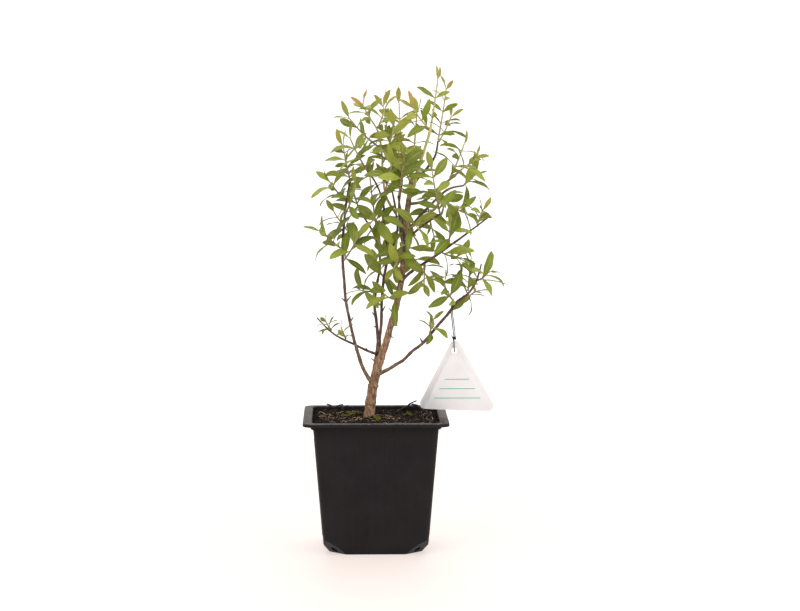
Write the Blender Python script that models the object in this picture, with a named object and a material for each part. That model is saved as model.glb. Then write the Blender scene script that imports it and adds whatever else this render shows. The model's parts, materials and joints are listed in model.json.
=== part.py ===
"""Young pomegranate bonsai, built together with its square nursery pot and its hang tag.

Frame: +X to the right, +Y away from the camera, +Z up, origin under the middle of the pot.
Lengths below are in millimetres and are scaled to metres when a mesh is made.
"""
import math
import random

import bpy
import bmesh
from mathutils import Matrix, Quaternion, Vector
from mathutils.bvhtree import BVHTree

MM = 0.001
CLEARANCE = 0.3

# How the photo was taken, so that points read off it can be placed in the frame
EYE = Vector((-26.0, -2227.0, 427.0))
PITCH = 0.0928
YAW = 0.0217
FOCAL_PX = 2478.0
PHOTO_MIDDLE = (400.0, 305.5)

# Pot
RIM_HALF = 65.0
RIM_TOP = 120.6
RIM_WIDTH = 7.4
RIM_THICK = 1.4
LIP_DROP = 3.0
WALL = 1.3
COLLAR_HALF = 58.0
COLLAR_LOW = 114.2
WALL_TOP_HALF = 55.8
WALL_LOW_HALF = 46.9
CREASE_Z = 7.6
FOOT_HALF = 41.5
FLOOR = 1.8
CORNER_R = 7.0
FACET_ALONG = 15.0
FACET_HIGH = 12.5
DRAIN_R = 3.2

# Soil
SOIL_TOP = 117.0
SOIL_HOLE_R = 6.6
SOIL_HOLE_LOW = 92.0

# Tag and its tie
TAG_DEPTH = -15.0
TAG_THICK = 1.0
TAG_APEX = (455.0, 334.5)
TAG_LEFT = (416.5, 408.6)
TAG_RIGHT = (497.5, 411.6)
TAG_HOLE = (454.3, 350.5)
TAG_HOLE_R = 2.6
TAG_CORNER_R = 4.8
TIE_R = 0.42
TIE_TURN = 1.75
TIE_APART = 0.5

# Leaves
LEAF_STATIONS = (0, 5, 10)
LEAF_FULLNESS = 1.12
LEAF_STEPS = 10
LEAF_KEEL = 0.95
LEAF_LENGTH = 24.0
LEAF_WIDTH = 7.2
LEAF_GROWTH = 1.14
CROWN_X = 20.0
TWIG_POINTS = 4
TWIG_SIDES = 4
SEED = 11

# The woody frame: name, sides, then points (photo x, photo y, depth, radius)
WOOD = [
    ("trunk", 9, [(368.8, 441, 0, 5.4), (369, 424, 0, 5.5), (369.4, 414, 0, 4.9), (370.6, 402, 0, 4.6),
                  (372.6, 388, 0, 4.4), (376.5, 373, -1, 3.8), (382, 355, -2, 3.3), (386.5, 341, -2, 3.1),
                  (391.5, 323, -2, 2.9), (396.5, 305, -2, 2.8), (400, 288, -1, 2.7), (402.6, 268, 0, 2.7),
                  (404.5, 246, 0, 2.6), (405.8, 224, 0, 2.5), (408.5, 202, 0, 2.4), (411.2, 181, 0, 2.1)]),
    ("left_stem", 7, [(371, 392, 2, 3.0), (373.6, 377, 5, 2.7), (376, 364, 7, 2.5), (378, 350, 8, 2.3),
                      (379.2, 340, 8, 1.9)]),
    ("left_stem_a", 5, [(378.6, 346, 8, 1.6), (376.6, 323, 11, 1.4), (374.6, 305, 14, 1.3),
                        (376.4, 287, 17, 1.2), (379.8, 268, 20, 1.1), (379.4, 250, 24, 1.0),
                        (376, 226, 28, 0.8)]),
    ("left_stem_b", 5, [(379.4, 344, 8, 1.5), (381.2, 324, 7, 1.4), (381.8, 301, 5, 1.3),
                        (384, 278, 8, 1.3), (388.5, 257, 11, 1.2), (397, 233, 14, 1.0), (396, 212, 20, 0.9),
                        (392, 190, 24, 0.8)]),
    ("cross_branch", 5, [(377.5, 356, 6, 1.2), (383.5, 347, 3, 1.2), (388.5, 336, -1, 1.1)]),
    ("left_leader", 6, [(370, 385, -1, 2.0), (364.5, 371, -4, 1.7), (360, 360, -7, 1.6),
                        (353.8, 339, -11, 1.4), (349.4, 319, -14, 1.35), (345.8, 301, -16, 1.3),
                        (344.2, 281, -17, 1.3), (342.8, 262, -17, 1.3), (343, 238, -16, 1.2),
                        (344.4, 219, -14, 1.1), (346.2, 203, -12, 1.0), (350.5, 178, -8, 0.85)]),
    ("low_left", 5, [(375.5, 354, 5, 1.2), (368, 351, 1, 1.1), (354.5, 344.5, 4, 1.0),
                     (339.2, 337.3, 8, 0.9), (329, 330, 12, 0.8), (316.8, 317.6, 16, 0.6)]),
    ("tag_branch", 6, [(377, 376, -2, 2.0), (387, 370, -5, 1.7), (396, 364.5, -8, 1.55),
                       (404, 359.5, -10, 1.45), (413, 350.5, -12, 1.4), (423, 343, -14, 1.4),
                       (436.5, 327, -15, 1.3), (449.5, 312, -15, 1.25), (457, 301.5, -15, 1.15),
                       (467.7, 294, -16, 1.1), (476.3, 281, -19, 0.9), (481.4, 263.7, -22, 0.6)]),
    ("right_branch", 5, [(402, 283, -1, 1.4), (410.5, 272.3, -6, 1.3), (434.5, 256.5, -20, 1.15),
                         (449, 246.3, -27, 1.05), (463.5, 236, -33, 0.9), (490, 216, -42, 0.6)]),
    ("right_back", 5, [(405.5, 236, 1, 1.5), (415, 222, 10, 1.4), (428, 207.5, 20, 1.2),
                       (447, 190, 32, 1.0), (464, 185.5, 42, 0.7)]),
    ("right_high", 5, [(408, 204, 0, 1.4), (424, 201, -8, 1.3), (439.6, 187.3, -16, 1.2),
                       (452.5, 177.3, -24, 1.0), (462.6, 168.6, -28, 0.8)]),
    ("upper_right", 5, [(410, 190, 1, 1.4), (418, 178, 8, 1.3), (426.6, 168.6, 14, 1.2),
                        (435.2, 155.7, 20, 1.0), (438, 141, 22, 0.9)]),
    ("young_shoot", 6, [(409.5, 200, -1, 1.5), (413.5, 188, -6, 1.5), (418.5, 168, -8, 1.4),
                        (424, 151, -9, 1.3), (429, 135, -9, 1.2), (431.5, 123, -9, 1.0)]),
    ("pink_shoot", 5, [(395.5, 214, 18, 1.1), (386, 196, 8, 1.1), (382.6, 172, 0, 1.0),
                       (382, 156, -4, 0.9), (378.5, 133, -8, 0.9), (370.5, 119, -10, 0.7)]),
    ("inner_left", 5, [(388.5, 256, 11, 1.0), (384, 226, -2, 0.9), (383.5, 204, -12, 0.9),
                       (376.3, 184, -22, 0.8), (367.7, 171.5, -30, 0.7)]),
    ("mid_left", 5, [(380, 270, 19, 1.0), (366, 250, 24, 0.9), (352, 236, 30, 0.8)]),
    ("back_left", 5, [(379.6, 252, 23, 1.0), (372, 230, 36, 0.9), (358, 209, 44, 0.7)]),
    ("back_stem", 5, [(404.4, 250, 1, 1.5), (401, 230, 18, 1.3), (399, 205, 30, 1.1),
                      (402, 180, 38, 1.0), (402, 158, 40, 0.8)]),
    ("front_stem", 5, [(403.6, 258, 0, 1.4), (404, 240, -16, 1.2), (402, 218, -28, 1.0),
                       (398, 196, -36, 0.8)]),
    ("front_right", 5, [(404, 244, -1, 1.3), (415, 232, -16, 1.1), (428, 222, -32, 0.9),
                        (440, 214, -44, 0.7)]),
]

# Dead spurs and bud stumps: branch, photo point to grow from, photo point of the tip, depth of the tip
SPURS = [
    ("left_leader", (345.9, 302), (341.6, 298), -18), ("left_leader", (345.9, 302), (351, 296), -14),
    ("left_leader", (350, 322), (353.4, 317), -17), ("left_stem_a", (376.2, 318), (372, 312), 9),
    ("left_stem_a", (377, 328), (373.6, 326), 14), ("left_stem_b", (381.5, 312), (385.2, 306), 2),
    ("trunk", (391, 325), (397.6, 325.5), -7), ("trunk", (388, 336), (393.5, 337.5), 2),
    ("trunk", (372, 392), (378.5, 385), 4), ("trunk", (394, 314), (388.6, 308), -7),
    ("tag_branch", (423, 343), (420, 338), -17), ("tag_branch", (449.5, 312), (447.6, 316.5), -14),
    ("left_stem", (376.2, 362), (371, 358), 9), ("low_left", (368, 351), (366, 348), -1),
]

# Leafy sprays: name, branch it grows from, photo start, photo tip, depth of the tip, leaf pairs, leaf length
SPRAYS = [
    ("spray_top_spear", "young_shoot", (431.5, 123), (437.8, 79), -10, 3, 17),
    ("spray_top_twin", "upper_right", (438, 142), (446.2, 89), 22, 5, 17),
    ("spray_top_right", "upper_right", (437, 146), (451, 117), 34, 4, 19),
    ("spray_crown_dark", "young_shoot", (430, 130), (413, 108), -16, 4, 22),
    ("spray_crown_mid", "trunk", (411, 182), (416.8, 113), 4, 5, 20),
    ("spray_crown_back", "back_stem", (402, 159), (399, 103), 46, 4, 20),
    ("spray_crown_back_left", "back_stem", (400.6, 190), (383, 106), 50, 5, 21),
    ("spray_pink_tip", "pink_shoot", (371, 120), (363, 105), -14, 4, 18),
    ("spray_pink_high", "pink_shoot", (377, 130), (387, 103), -2, 4, 20),
    ("spray_pink_left", "pink_shoot", (381, 148), (349, 118), -22, 4, 22),
    ("spray_pink_front", "pink_shoot", (382.4, 166), (394, 127), -30, 5, 22),
    ("spray_inner_tip", "inner_left", (368, 172), (350, 138), -40, 4, 23),
    ("spray_inner_front", "inner_left", (382, 199), (392, 164), -46, 4, 23),
    ("spray_leader_tip", "left_leader", (350, 180), (343, 146), -8, 5, 21),
    ("spray_leader_left", "left_leader", (346.4, 202), (330, 182), -14, 5, 23),
    ("spray_leader_front", "left_leader", (344.6, 217), (356, 184), -42, 5, 22),
    ("spray_leader_low", "left_leader", (343, 250), (323, 232), -24, 4, 24),
    ("spray_leader_side", "left_leader", (342.8, 262), (358, 236), -44, 4, 22),
    ("spray_mid_left", "mid_left", (353, 237), (334, 212), 34, 5, 22),
    ("spray_back_left", "back_left", (359, 211), (346, 164), 50, 4, 22),
    ("spray_back_inner", "left_stem_a", (376.4, 228), (370, 178), 30, 4, 22),
    ("spray_stem_tip", "left_stem_b", (392.4, 192), (390, 138), 26, 5, 22),
    ("spray_low_stem", "left_stem_a", (376, 290), (360, 290), -2, 4, 21),
    ("spray_low_stem_back", "left_stem_b", (384, 279), (377, 262), 42, 3, 21),
    ("spray_low_left", "low_left", (333, 333), (326, 322), 8, 4, 12),
    ("spray_low_left_twig", "low_left", (347, 341), (341, 327), 2, 3, 12),
    ("spray_tag_low", "tag_branch", (429, 336), (433, 320), -24, 4, 16),
    ("spray_tag_mid", "tag_branch", (455, 304), (444, 284), -30, 4, 21),
    ("spray_tag_top", "tag_branch", (468, 294), (470, 266), -8, 5, 22),
    ("spray_tag_end", "tag_branch", (476, 282), (489, 272), -34, 4, 22),
    ("spray_tag_back", "tag_branch", (463, 297), (474, 292), 8, 4, 20),
    ("spray_right_low", "right_branch", (424, 264), (424, 284), -38, 4, 22),
    ("spray_right_mid", "right_branch", (440, 253), (462, 258), -20, 4, 22),
    ("spray_right_front", "right_branch", (449, 246), (450, 226), -54, 4, 21),
    ("spray_right_tip", "right_branch", (476, 227), (482, 211), -40, 4, 19),
    ("spray_back_right", "right_back", (440, 196), (472, 216), 34, 5, 22),
    ("spray_back_right_tip", "right_back", (462, 186), (474, 176), 50, 4, 20),
    ("spray_back_right_in", "right_back", (428, 207), (434, 236), 48, 4, 22),
    ("spray_high_tip", "right_high", (462, 169), (475.5, 158), -30, 4, 19),
    ("spray_high_mid", "right_high", (449, 180), (464.5, 143), -12, 5, 20),
    ("spray_high_front", "right_high", (438, 189), (450, 206), -44, 4, 21),
    ("spray_front_stem", "front_stem", (398.6, 198), (404, 158), -48, 6, 23),
    ("spray_front_low", "front_stem", (404, 240), (394, 268), -40, 5, 22),
    ("spray_front_right", "front_right", (440, 214), (432, 170), -54, 6, 22),
    ("spray_leader_mid", "trunk", (404.6, 244), (419, 264), 28, 4, 21),
    ("spray_back_low", "back_stem", (399.6, 212), (396, 236), 54, 4, 22),
    ("spray_crown_centre", "trunk", (411, 184), (398, 150), -22, 5, 22),
    ("spray_trunk_front", "front_stem", (403, 228), (420, 222), -52, 4, 24),
    ("spray_centre_left", "inner_left", (384, 224), (370, 216), -36, 4, 23),
    ("spray_stem_mid", "left_stem_b", (388.4, 257), (379, 240), -20, 4, 22),
    ("spray_trunk_low", "trunk", (398, 300), (384, 294), -26, 3, 23),
]


def from_photo(px, py, depth):
    """The point, in mm, seen at a place on the photo and lying at a depth along +Y."""
    ahead = Vector((math.sin(YAW) * math.cos(PITCH), math.cos(YAW) * math.cos(PITCH), -math.sin(PITCH)))
    right = ahead.cross(Vector((0, 0, 1))).normalized()
    up = right.cross(ahead)
    ray = ahead + right * (px - PHOTO_MIDDLE[0]) / FOCAL_PX - up * (py - PHOTO_MIDDLE[1]) / FOCAL_PX
    return EYE + ray * (depth - EYE.y) / ray.y


def clear_scene():
    for obj in list(bpy.data.objects):
        bpy.data.objects.remove(obj, do_unlink=True)


def make_material(name, colour, roughness):
    material = bpy.data.materials.new(name)
    material.use_nodes = True
    shader = material.node_tree.nodes["Principled BSDF"]
    shader.inputs["Base Color"].default_value = (*colour, 1.0)
    shader.inputs["Roughness"].default_value = roughness
    return material


def make_object(name, points, faces, material=None, collection=None):
    """Turn points in mm into a mesh object in metres."""
    mesh = bpy.data.meshes.new(name)
    mesh.from_pydata([Vector(p) * MM for p in points], [], faces)
    body = bmesh.new()
    body.from_mesh(mesh)
    bmesh.ops.recalc_face_normals(body, faces=body.faces[:])
    bmesh.ops.triangulate(body, faces=[f for f in body.faces if len(f.verts) > 4])
    body.to_mesh(mesh)
    body.free()
    if material is not None:
        mesh.materials.append(material)
    obj = bpy.data.objects.new(name, mesh)
    (collection or bpy.context.scene.collection).objects.link(obj)
    return obj


def boolean(target, operand, operation, solver="MANIFOLD"):
    """Join or cut with an object or a whole collection, apply it, and remove what was used."""
    modifier = target.modifiers.new("boolean", "BOOLEAN")
    modifier.operation = operation
    modifier.solver = solver
    if isinstance(operand, bpy.types.Collection):
        modifier.operand_type = "COLLECTION"
        modifier.collection = operand
        used = list(operand.objects)
    else:
        modifier.object = operand
        used = [operand]
    bpy.context.view_layer.update()
    result = bpy.data.meshes.new_from_object(target.evaluated_get(bpy.context.evaluated_depsgraph_get()))
    target.modifiers.clear()
    target.data = result
    for obj in used:
        bpy.data.objects.remove(obj, do_unlink=True)
    if isinstance(operand, bpy.types.Collection):
        bpy.data.collections.remove(operand)
    return target


def loft(rings):
    """Points and faces of a closed body through rings of equal length."""
    count = len(rings[0])
    points = [p for ring in rings for p in ring]
    faces = [list(range(count))]
    for k in range(len(rings) - 1):
        for i in range(count):
            j = (i + 1) % count
            faces.append([k * count + i, k * count + j, (k + 1) * count + j, (k + 1) * count + i])
    faces.append([(len(rings) - 1) * count + i for i in range(count)])
    return points, faces


def rounded_square(half, radius, z, per_corner=4):
    """A ring of points, counter-clockwise, with round corners."""
    ring = []
    for corner in range(4):
        turn = math.pi / 2 * corner
        away = (half - radius) * math.sqrt(2)
        cx = away * math.cos(turn + math.pi / 4)
        cy = away * math.sin(turn + math.pi / 4)
        for k in range(per_corner + 1):
            a = turn + math.pi / 2 * k / per_corner
            ring.append(Vector((cx + radius * math.cos(a), cy + radius * math.sin(a), z)))
    return ring


def soil_ring(half, radius, z, count=28):
    """Points at even angles around the trunk, on a rounded square."""
    root = from_photo(369, 424, 0)
    ring = []
    for k in range(count):
        a = 2 * math.pi * k / count
        way = Vector((math.cos(a), math.sin(a), 0))
        low, high = 0.0, 2.0 * half
        for _ in range(40):
            middle = (low + high) / 2
            p = Vector((root.x, root.y, 0)) + way * middle
            over_x = max(0.0, abs(p.x) - half + radius)
            over_y = max(0.0, abs(p.y) - half + radius)
            if math.hypot(over_x, over_y) > radius:
                high = middle
            else:
                low = middle
        p = Vector((root.x, root.y, 0)) + way * low
        ring.append(Vector((p.x, p.y, z)))
    return ring


def wall_half(z):
    """Half the pot's outer width at a height on its slanting wall."""
    share = (z - CREASE_Z) / (COLLAR_LOW - CREASE_Z)
    return WALL_LOW_HALF + (WALL_TOP_HALF - WALL_LOW_HALF) * share


def cut_corners(obj, inset):
    """Slice the four low corners off along a slanting plane, and close the cuts."""
    body = bmesh.new()
    body.from_mesh(obj.data)
    for k in range(4):
        a = math.pi / 4 + math.pi / 2 * k
        out = Vector((math.cos(a), math.sin(a), 0))
        low = out * (FOOT_HALF * math.sqrt(2) - FACET_ALONG / math.sqrt(2) - inset)
        high = out * (WALL_LOW_HALF * math.sqrt(2) - CORNER_R * (math.sqrt(2) - 1) - inset)
        high.z = FACET_HIGH
        along = Vector((-out.y, out.x, 0))
        normal = (high - low).cross(along)
        if normal.dot(out) < 0:
            normal = -normal
        cut = bmesh.ops.bisect_plane(body, geom=body.verts[:] + body.edges[:] + body.faces[:],
                                     plane_co=low * MM, plane_no=normal, clear_outer=True)
        edges = [e for e in cut["geom_cut"] if isinstance(e, bmesh.types.BMEdge)]
        bmesh.ops.contextual_create(body, geom=edges)
    bmesh.ops.recalc_face_normals(body, faces=body.faces[:])
    body.to_mesh(obj.data)
    body.free()


def build_pot(material):
    outer = [
        rounded_square(FOOT_HALF, CORNER_R - 1, 0),
        rounded_square(WALL_LOW_HALF, CORNER_R, CREASE_Z),
        rounded_square(WALL_TOP_HALF, CORNER_R, COLLAR_LOW),
        rounded_square(COLLAR_HALF, CORNER_R, COLLAR_LOW + 0.6),
        rounded_square(COLLAR_HALF, CORNER_R, RIM_TOP - RIM_THICK),
        rounded_square(RIM_HALF - 1.1, CORNER_R + 2, RIM_TOP - RIM_THICK),
        rounded_square(RIM_HALF - 1.1, CORNER_R + 2, RIM_TOP - LIP_DROP),
        rounded_square(RIM_HALF, CORNER_R + 2.5, RIM_TOP - LIP_DROP),
        rounded_square(RIM_HALF, CORNER_R + 2.5, RIM_TOP - 0.5),
        rounded_square(RIM_HALF - 0.5, CORNER_R + 2, RIM_TOP),
    ]
    pot = make_object("pot", *loft(outer), material)
    cut_corners(pot, 0)
    inner_top = RIM_HALF - RIM_WIDTH
    inner = [
        rounded_square(FOOT_HALF - WALL, CORNER_R - 2, FLOOR),
        rounded_square(WALL_LOW_HALF - WALL, CORNER_R - 1, CREASE_Z + 0.6),
        rounded_square(wall_half(COLLAR_LOW) - WALL, CORNER_R - 1, COLLAR_LOW + 0.4),
        rounded_square(inner_top - 0.9, CORNER_R - 1, COLLAR_LOW + 1.9),
        rounded_square(inner_top - 0.6, CORNER_R - 1, RIM_TOP - 0.6),
        rounded_square(inner_top, CORNER_R - 1, RIM_TOP + 1),
    ]
    hollow = make_object("hollow", *loft(inner))
    cut_corners(hollow, WALL * 1.5)
    boolean(pot, hollow, "DIFFERENCE")
    for k in range(4):
        boolean(pot, drain_cutter(math.pi / 4 + math.pi / 2 * k), "DIFFERENCE")
    return pot


def drain_cutter(angle):
    """An upright cylinder through one corner facet."""
    out = Vector((math.cos(angle), math.sin(angle), 0))
    centre = out * (FOOT_HALF * math.sqrt(2) - FACET_ALONG / math.sqrt(2) + 4.2)
    rings = []
    for z in (-2.0, 14.0):
        rings.append([centre + Vector((DRAIN_R * math.cos(a), DRAIN_R * math.sin(a), z))
                      for a in (2 * math.pi * i / 12 for i in range(12))])
    return make_object("drain", *loft(rings))


def soil_height(x, y):
    """Lumpy height of the soil."""
    waves = math.sin(x * 0.21 + 1.3) * math.cos(y * 0.17 + 0.4) + 0.7 * math.sin(x * 0.09 - y * 0.31)
    fine = 0.5 * math.sin(x * 0.53 + y * 0.41) * math.cos(y * 0.47 - x * 0.2)
    mound = 1.8 * math.exp(-(x * x + y * y) / 300.0)
    return SOIL_TOP + 0.9 * waves + 0.8 * fine + mound


def build_soil(material):
    """Fills the pot; the trunk stands in a plain round hole."""
    gap = WALL + CLEARANCE
    rings = [soil_ring(WALL_LOW_HALF - 3 * gap, CORNER_R - 2, FACET_HIGH + 2),
             soil_ring(wall_half(COLLAR_LOW - 2.5) - gap, CORNER_R - 1, COLLAR_LOW - 3)]
    edge = soil_ring(wall_half(COLLAR_LOW - 2.5) - gap, CORNER_R - 1, SOIL_TOP)
    root = from_photo(369, 424, 0)
    centre = Vector((root.x, root.y, 0))
    rng = random.Random(SEED)
    for share in (1.0, 0.86, 0.7, 0.54, 0.4, 0.27):
        ring = []
        for p in edge:
            q = centre.lerp(Vector((p.x, p.y, 0)), share)
            low = 1.6 if share == 1.0 else 0.0
            ring.append(Vector((q.x, q.y, soil_height(q.x, q.y) - low + rng.uniform(-0.5, 0.5))))
        rings.append(ring)
    for z in (SOIL_TOP + 1.4, SOIL_HOLE_LOW):
        way = [(Vector((p.x, p.y, 0)) - centre).normalized() for p in edge]
        rings.append([centre + w * SOIL_HOLE_R + Vector((0, 0, z)) for w in way])
    return make_object("soil", *loft(rings), material)


def smooth_line(points, cuts=2):
    """Rounds a hand-measured line of (point, radius) with a Catmull-Rom curve."""
    if len(points) < 3:
        return points
    out = []
    for i in range(len(points) - 1):
        p = [points[max(0, min(len(points) - 1, i + k))] for k in (-1, 0, 1, 2)]
        for c in range(cuts):
            t = c / cuts
            position = 0.5 * ((2 * p[1][0]) + (p[2][0] - p[0][0]) * t
                              + (2 * p[0][0] - 5 * p[1][0] + 4 * p[2][0] - p[3][0]) * t * t
                              + (3 * p[1][0] - p[0][0] - 3 * p[2][0] + p[3][0]) * t ** 3)
            out.append((position, p[1][1] + (p[2][1] - p[1][1]) * t))
    out.append(points[-1])
    return out


def tube(line, sides, spin=0.0):
    """Points and faces of a closed tapering tube along (point, radius) pairs."""
    rings = []
    side = None
    for i, (point, radius) in enumerate(line):
        before = line[max(0, i - 1)][0]
        after = line[min(len(line) - 1, i + 1)][0]
        along = (after - before).normalized()
        if side is None:
            side = along.orthogonal().normalized()
        side = (side - along * side.dot(along)).normalized()
        other = along.cross(side)
        rings.append([point + (side * math.cos(a) + other * math.sin(a)) * radius
                      for a in (spin + 2 * math.pi * k / sides for k in range(sides))])
    return loft(rings)


def wood_lines():
    """Every branch as (point, radius) pairs, by name."""
    lines = {}
    for name, sides, points in WOOD:
        placed = [(from_photo(px, py, depth), radius) for px, py, depth, radius in points]
        if lines:
            placed[0] = (closest_wood(lines, placed[0][0]), placed[0][1])
        lines[name] = (smooth_line(placed, 2 if name in ("trunk", "left_leader", "tag_branch") else 1), sides)
    return lines


def closest_wood(lines, place):
    """The point inside the wood made so far that is nearest to a place."""
    best = None
    for line, _ in lines.values():
        for (a, _), (b, _) in zip(line, line[1:]):
            along = b - a
            t = max(0.0, min(1.0, (place - a).dot(along) / along.length_squared))
            point = a + along * t
            if best is None or (point - place).length < (best - place).length:
                best = point
    return best


def nearest_on(line, px, py):
    """Where a branch passes closest to a place on the photo: (point, radius)."""
    best = None
    for i in range(len(line) - 1):
        (a, ra), (b, rb) = line[i], line[i + 1]
        for k in range(11):
            t = k / 10
            point = a.lerp(b, t)
            seen = from_photo(px, py, point.y)
            distance = (seen - point).length
            if best is None or distance < best[0]:
                best = (distance, point, ra + (rb - ra) * t)
    return best[1], best[2]


def spur_lines(lines):
    out = []
    for branch, start, tip, depth in SPURS:
        point, radius = nearest_on(lines[branch][0], *start)
        end = from_photo(*tip, depth)
        end = point + (end - point).normalized() * max((end - point).length, radius + 2.5)
        out.append([(point, min(0.95, radius * 0.7)), (end, 0.4)])
    return out


def spray_line(lines, spec, push=0.0):
    """The twig of a spray: it leaves its branch just clear of the bark and curves upwards to its tip."""
    name, branch, start, tip, depth, pairs, length = spec
    point, radius = nearest_on(lines[branch][0], *start)
    end = from_photo(*tip, depth)
    way = (end - point).normalized()
    first = point + way * (radius * 0.6 + push)
    reach = (end - first).length
    bow = Vector((0, 0, 1)) - way * way.z
    middle = (first + end) / 2 - bow * reach * 0.10
    line = []
    for k in range(TWIG_POINTS):
        t = k / (TWIG_POINTS - 1)
        p = first * (1 - t) ** 2 + middle * 2 * t * (1 - t) + end * t * t
        line.append((p, 0.90 - 0.25 * t))
    return line


def clear_twig(space, lines, spec):
    """Moves a twig's foot, and then its tip in depth, until it stands clear of all else."""
    for shift in (0, 5, -5, 10, -10, 16, -16):
        for slide in (0, 5, -5, 10):
            moved = (spec[0], spec[1], (spec[2][0], spec[2][1] + slide), spec[3], spec[4] + shift, *spec[5:])
            for step in range(45):
                line = spray_line(lines, moved, 0.12 * step)
                way = (line[1][0] - line[0][0]).normalized()
                test = [(line[0][0] - way * CLEARANCE, line[0][1] + CLEARANCE)]
                test += [(p, r + CLEARANCE) for p, r in line[1:]]
                if not space.touches(*tube(test, TWIG_SIDES)):
                    return line
    print("no free place for", spec[0])
    return line


def leaf_axis(leaf):
    """Eleven frames (point, side, normal) along the arched midrib of a leaf."""
    frames = []
    point = leaf["base"].copy()
    side = leaf["side"]
    way = leaf["way"].copy()
    step = leaf["length"] / LEAF_STEPS
    for k in range(LEAF_STEPS + 1):
        twist = Quaternion(way, leaf["twist"] * k / LEAF_STEPS)
        turned = twist @ side
        frames.append((point.copy(), turned, turned.cross(way).normalized()))
        share = (k + 0.5) / LEAF_STEPS
        way = Quaternion(side, -leaf["droop"] * 1.5 * share ** 0.5 / LEAF_STEPS) @ way
        point += way * step
    return frames


def leaf_share(t):
    """Width of the blade along its length, as a share of its widest part."""
    if t < 0.14:
        return 0.17 + 0.10 * max(0.0, t) / 0.14
    if t >= 1.0:
        return 0.0
    u = (t - 0.14) / 0.86
    swell = math.sin(math.pi * (0.93 * u) ** 0.86)
    return max(0.0, 0.27 + 0.73 * swell - 0.27 * u ** 3)


def leaf_mesh(leaf, thick=LEAF_KEEL, grow=0.0, first=0):
    """A closed blade with a keel under its midrib; grow widens it for the test of free space."""
    frames = leaf_axis(leaf)
    stations = LEAF_STATIONS[first:]
    points = []
    for k in stations[:-1]:
        point, side, normal = frames[k]
        half = max(0.40, LEAF_FULLNESS * leaf["width"] / 2 * leaf_share(k / LEAF_STEPS)) + grow
        lift = normal * (0.12 * half + grow)
        keel = normal * (thick if k else thick - 0.5)
        points += [point - side * half + lift, point + side * half + lift, point - keel]
    tip, _, normal = frames[stations[-1]]
    points.append(tip)
    count = len(stations) - 1
    faces = [[0, 1, 2]]
    for k in range(count - 1):
        for i in range(3):
            j = (i + 1) % 3
            faces.append([k * 3 + i, k * 3 + j, k * 3 + 3 + j, k * 3 + 3 + i])
    last = (count - 1) * 3
    for i in range(3):
        faces.append([last + i, last + (i + 1) % 3, len(points) - 1])
    return points, faces


def make_leaf(base, along, turn, spread, roll, droop, twist, length, width):
    """A leaf's measures; its face looks up and away from the middle of the crown."""
    out = Quaternion(along, turn) @ along.orthogonal().normalized()
    way = (along * math.cos(spread) + out * math.sin(spread)).normalized()
    away = Vector((base.x - CROWN_X, base.y, 0.0)).normalized()
    side = way.cross(Vector((0, 0, 1)) * 0.6 + along * 0.35 + away * 0.75)
    if side.length < 0.1:
        side = way.orthogonal()
    side = Quaternion(way, roll) @ side.normalized()
    return {"base": base, "way": way, "side": side, "droop": droop, "twist": twist,
            "length": length, "width": width}


class FreeSpace:
    """Keeps the shapes placed so far and tells whether a new one would touch them."""

    def __init__(self):
        self.items = []

    def add(self, owner, points, faces):
        tree = BVHTree.FromPolygons(points, faces)
        middle = sum(points, Vector()) / len(points)
        reach = max((p - middle).length for p in points)
        self.items.append((owner, middle, reach, tree))

    def touches(self, points, faces, skip=None, only=None):
        tree = BVHTree.FromPolygons(points, faces)
        middle = sum(points, Vector()) / len(points)
        reach = max((p - middle).length for p in points)
        for owner, centre, size, other in self.items:
            if owner == skip or (only is not None and owner != only):
                continue
            if (centre - middle).length < size + reach and tree.overlap(other):
                return True
        return False


def on_line(line, t):
    """Point and direction at a share of the way along a twig."""
    place = t * (len(line) - 1)
    i = min(int(place), len(line) - 2)
    a, b = line[i][0], line[i + 1][0]
    return a.lerp(b, place - i), (b - a).normalized()


def taken_space(lines, route):
    """The room that the wood, the tie and the tag take up."""
    space = FreeSpace()
    for line, sides in lines.values():
        for i in range(len(line) - 1):
            space.add("wood", *tube(line[i:i + 2], sides))
    for line in spur_lines(lines):
        space.add("wood", *tube(line, 4))
    space.add("tie", *tube([(p, TIE_R) for p in route], 6))
    space.add("tag", *loft(tag_rings()))
    return space


def leaf_is_free(space, name, leaf):
    whole = leaf_mesh(leaf, thick=LEAF_KEEL + 0.35, grow=0.35)
    if space.touches(*whole, skip=name):
        return False
    outer = leaf_mesh(leaf, thick=LEAF_KEEL + 0.2, grow=0.2, first=1)
    return not space.touches(*outer, only=name)


def place_leaves(space, spec, line, rng):
    """Opposite pairs of leaves up the twig, each turned until it hangs free of its neighbours."""
    name, pairs, length = spec[0], spec[5], spec[6]
    leaves = []
    turn = rng.uniform(0, math.pi)
    for k in range(pairs):
        t = 0.10 + 0.90 * k / max(1, pairs - 1)
        base, along = on_line(line, min(t, 0.985))
        at_tip = k == pairs - 1
        for half in (0, 1):
            size = LEAF_GROWTH * length * rng.uniform(0.84, 1.14) * (0.66 if at_tip else 1.0)
            width = LEAF_WIDTH * (size / LEAF_LENGTH) ** 0.8 * rng.uniform(0.85, 1.2)
            for attempt in range(14):
                leaf = make_leaf(
                    base, along, turn + math.pi * half + rng.uniform(-0.35, 0.35) * (1 + attempt * 0.25),
                    rng.uniform(0.3, 0.6) if at_tip else rng.uniform(0.8, 1.25),
                    rng.uniform(-0.6, 0.6), rng.uniform(0.2, 0.5) if at_tip else rng.uniform(0.35, 1.25),
                    rng.uniform(-0.5, 0.5), size * (1 - 0.02 * attempt), width)
                if leaf_is_free(space, name, leaf):
                    leaves.append(leaf)
                    space.add(name, *leaf_mesh(leaf))
                    break
        turn += math.pi / 2 + rng.uniform(-0.2, 0.2)
    return leaves


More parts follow.
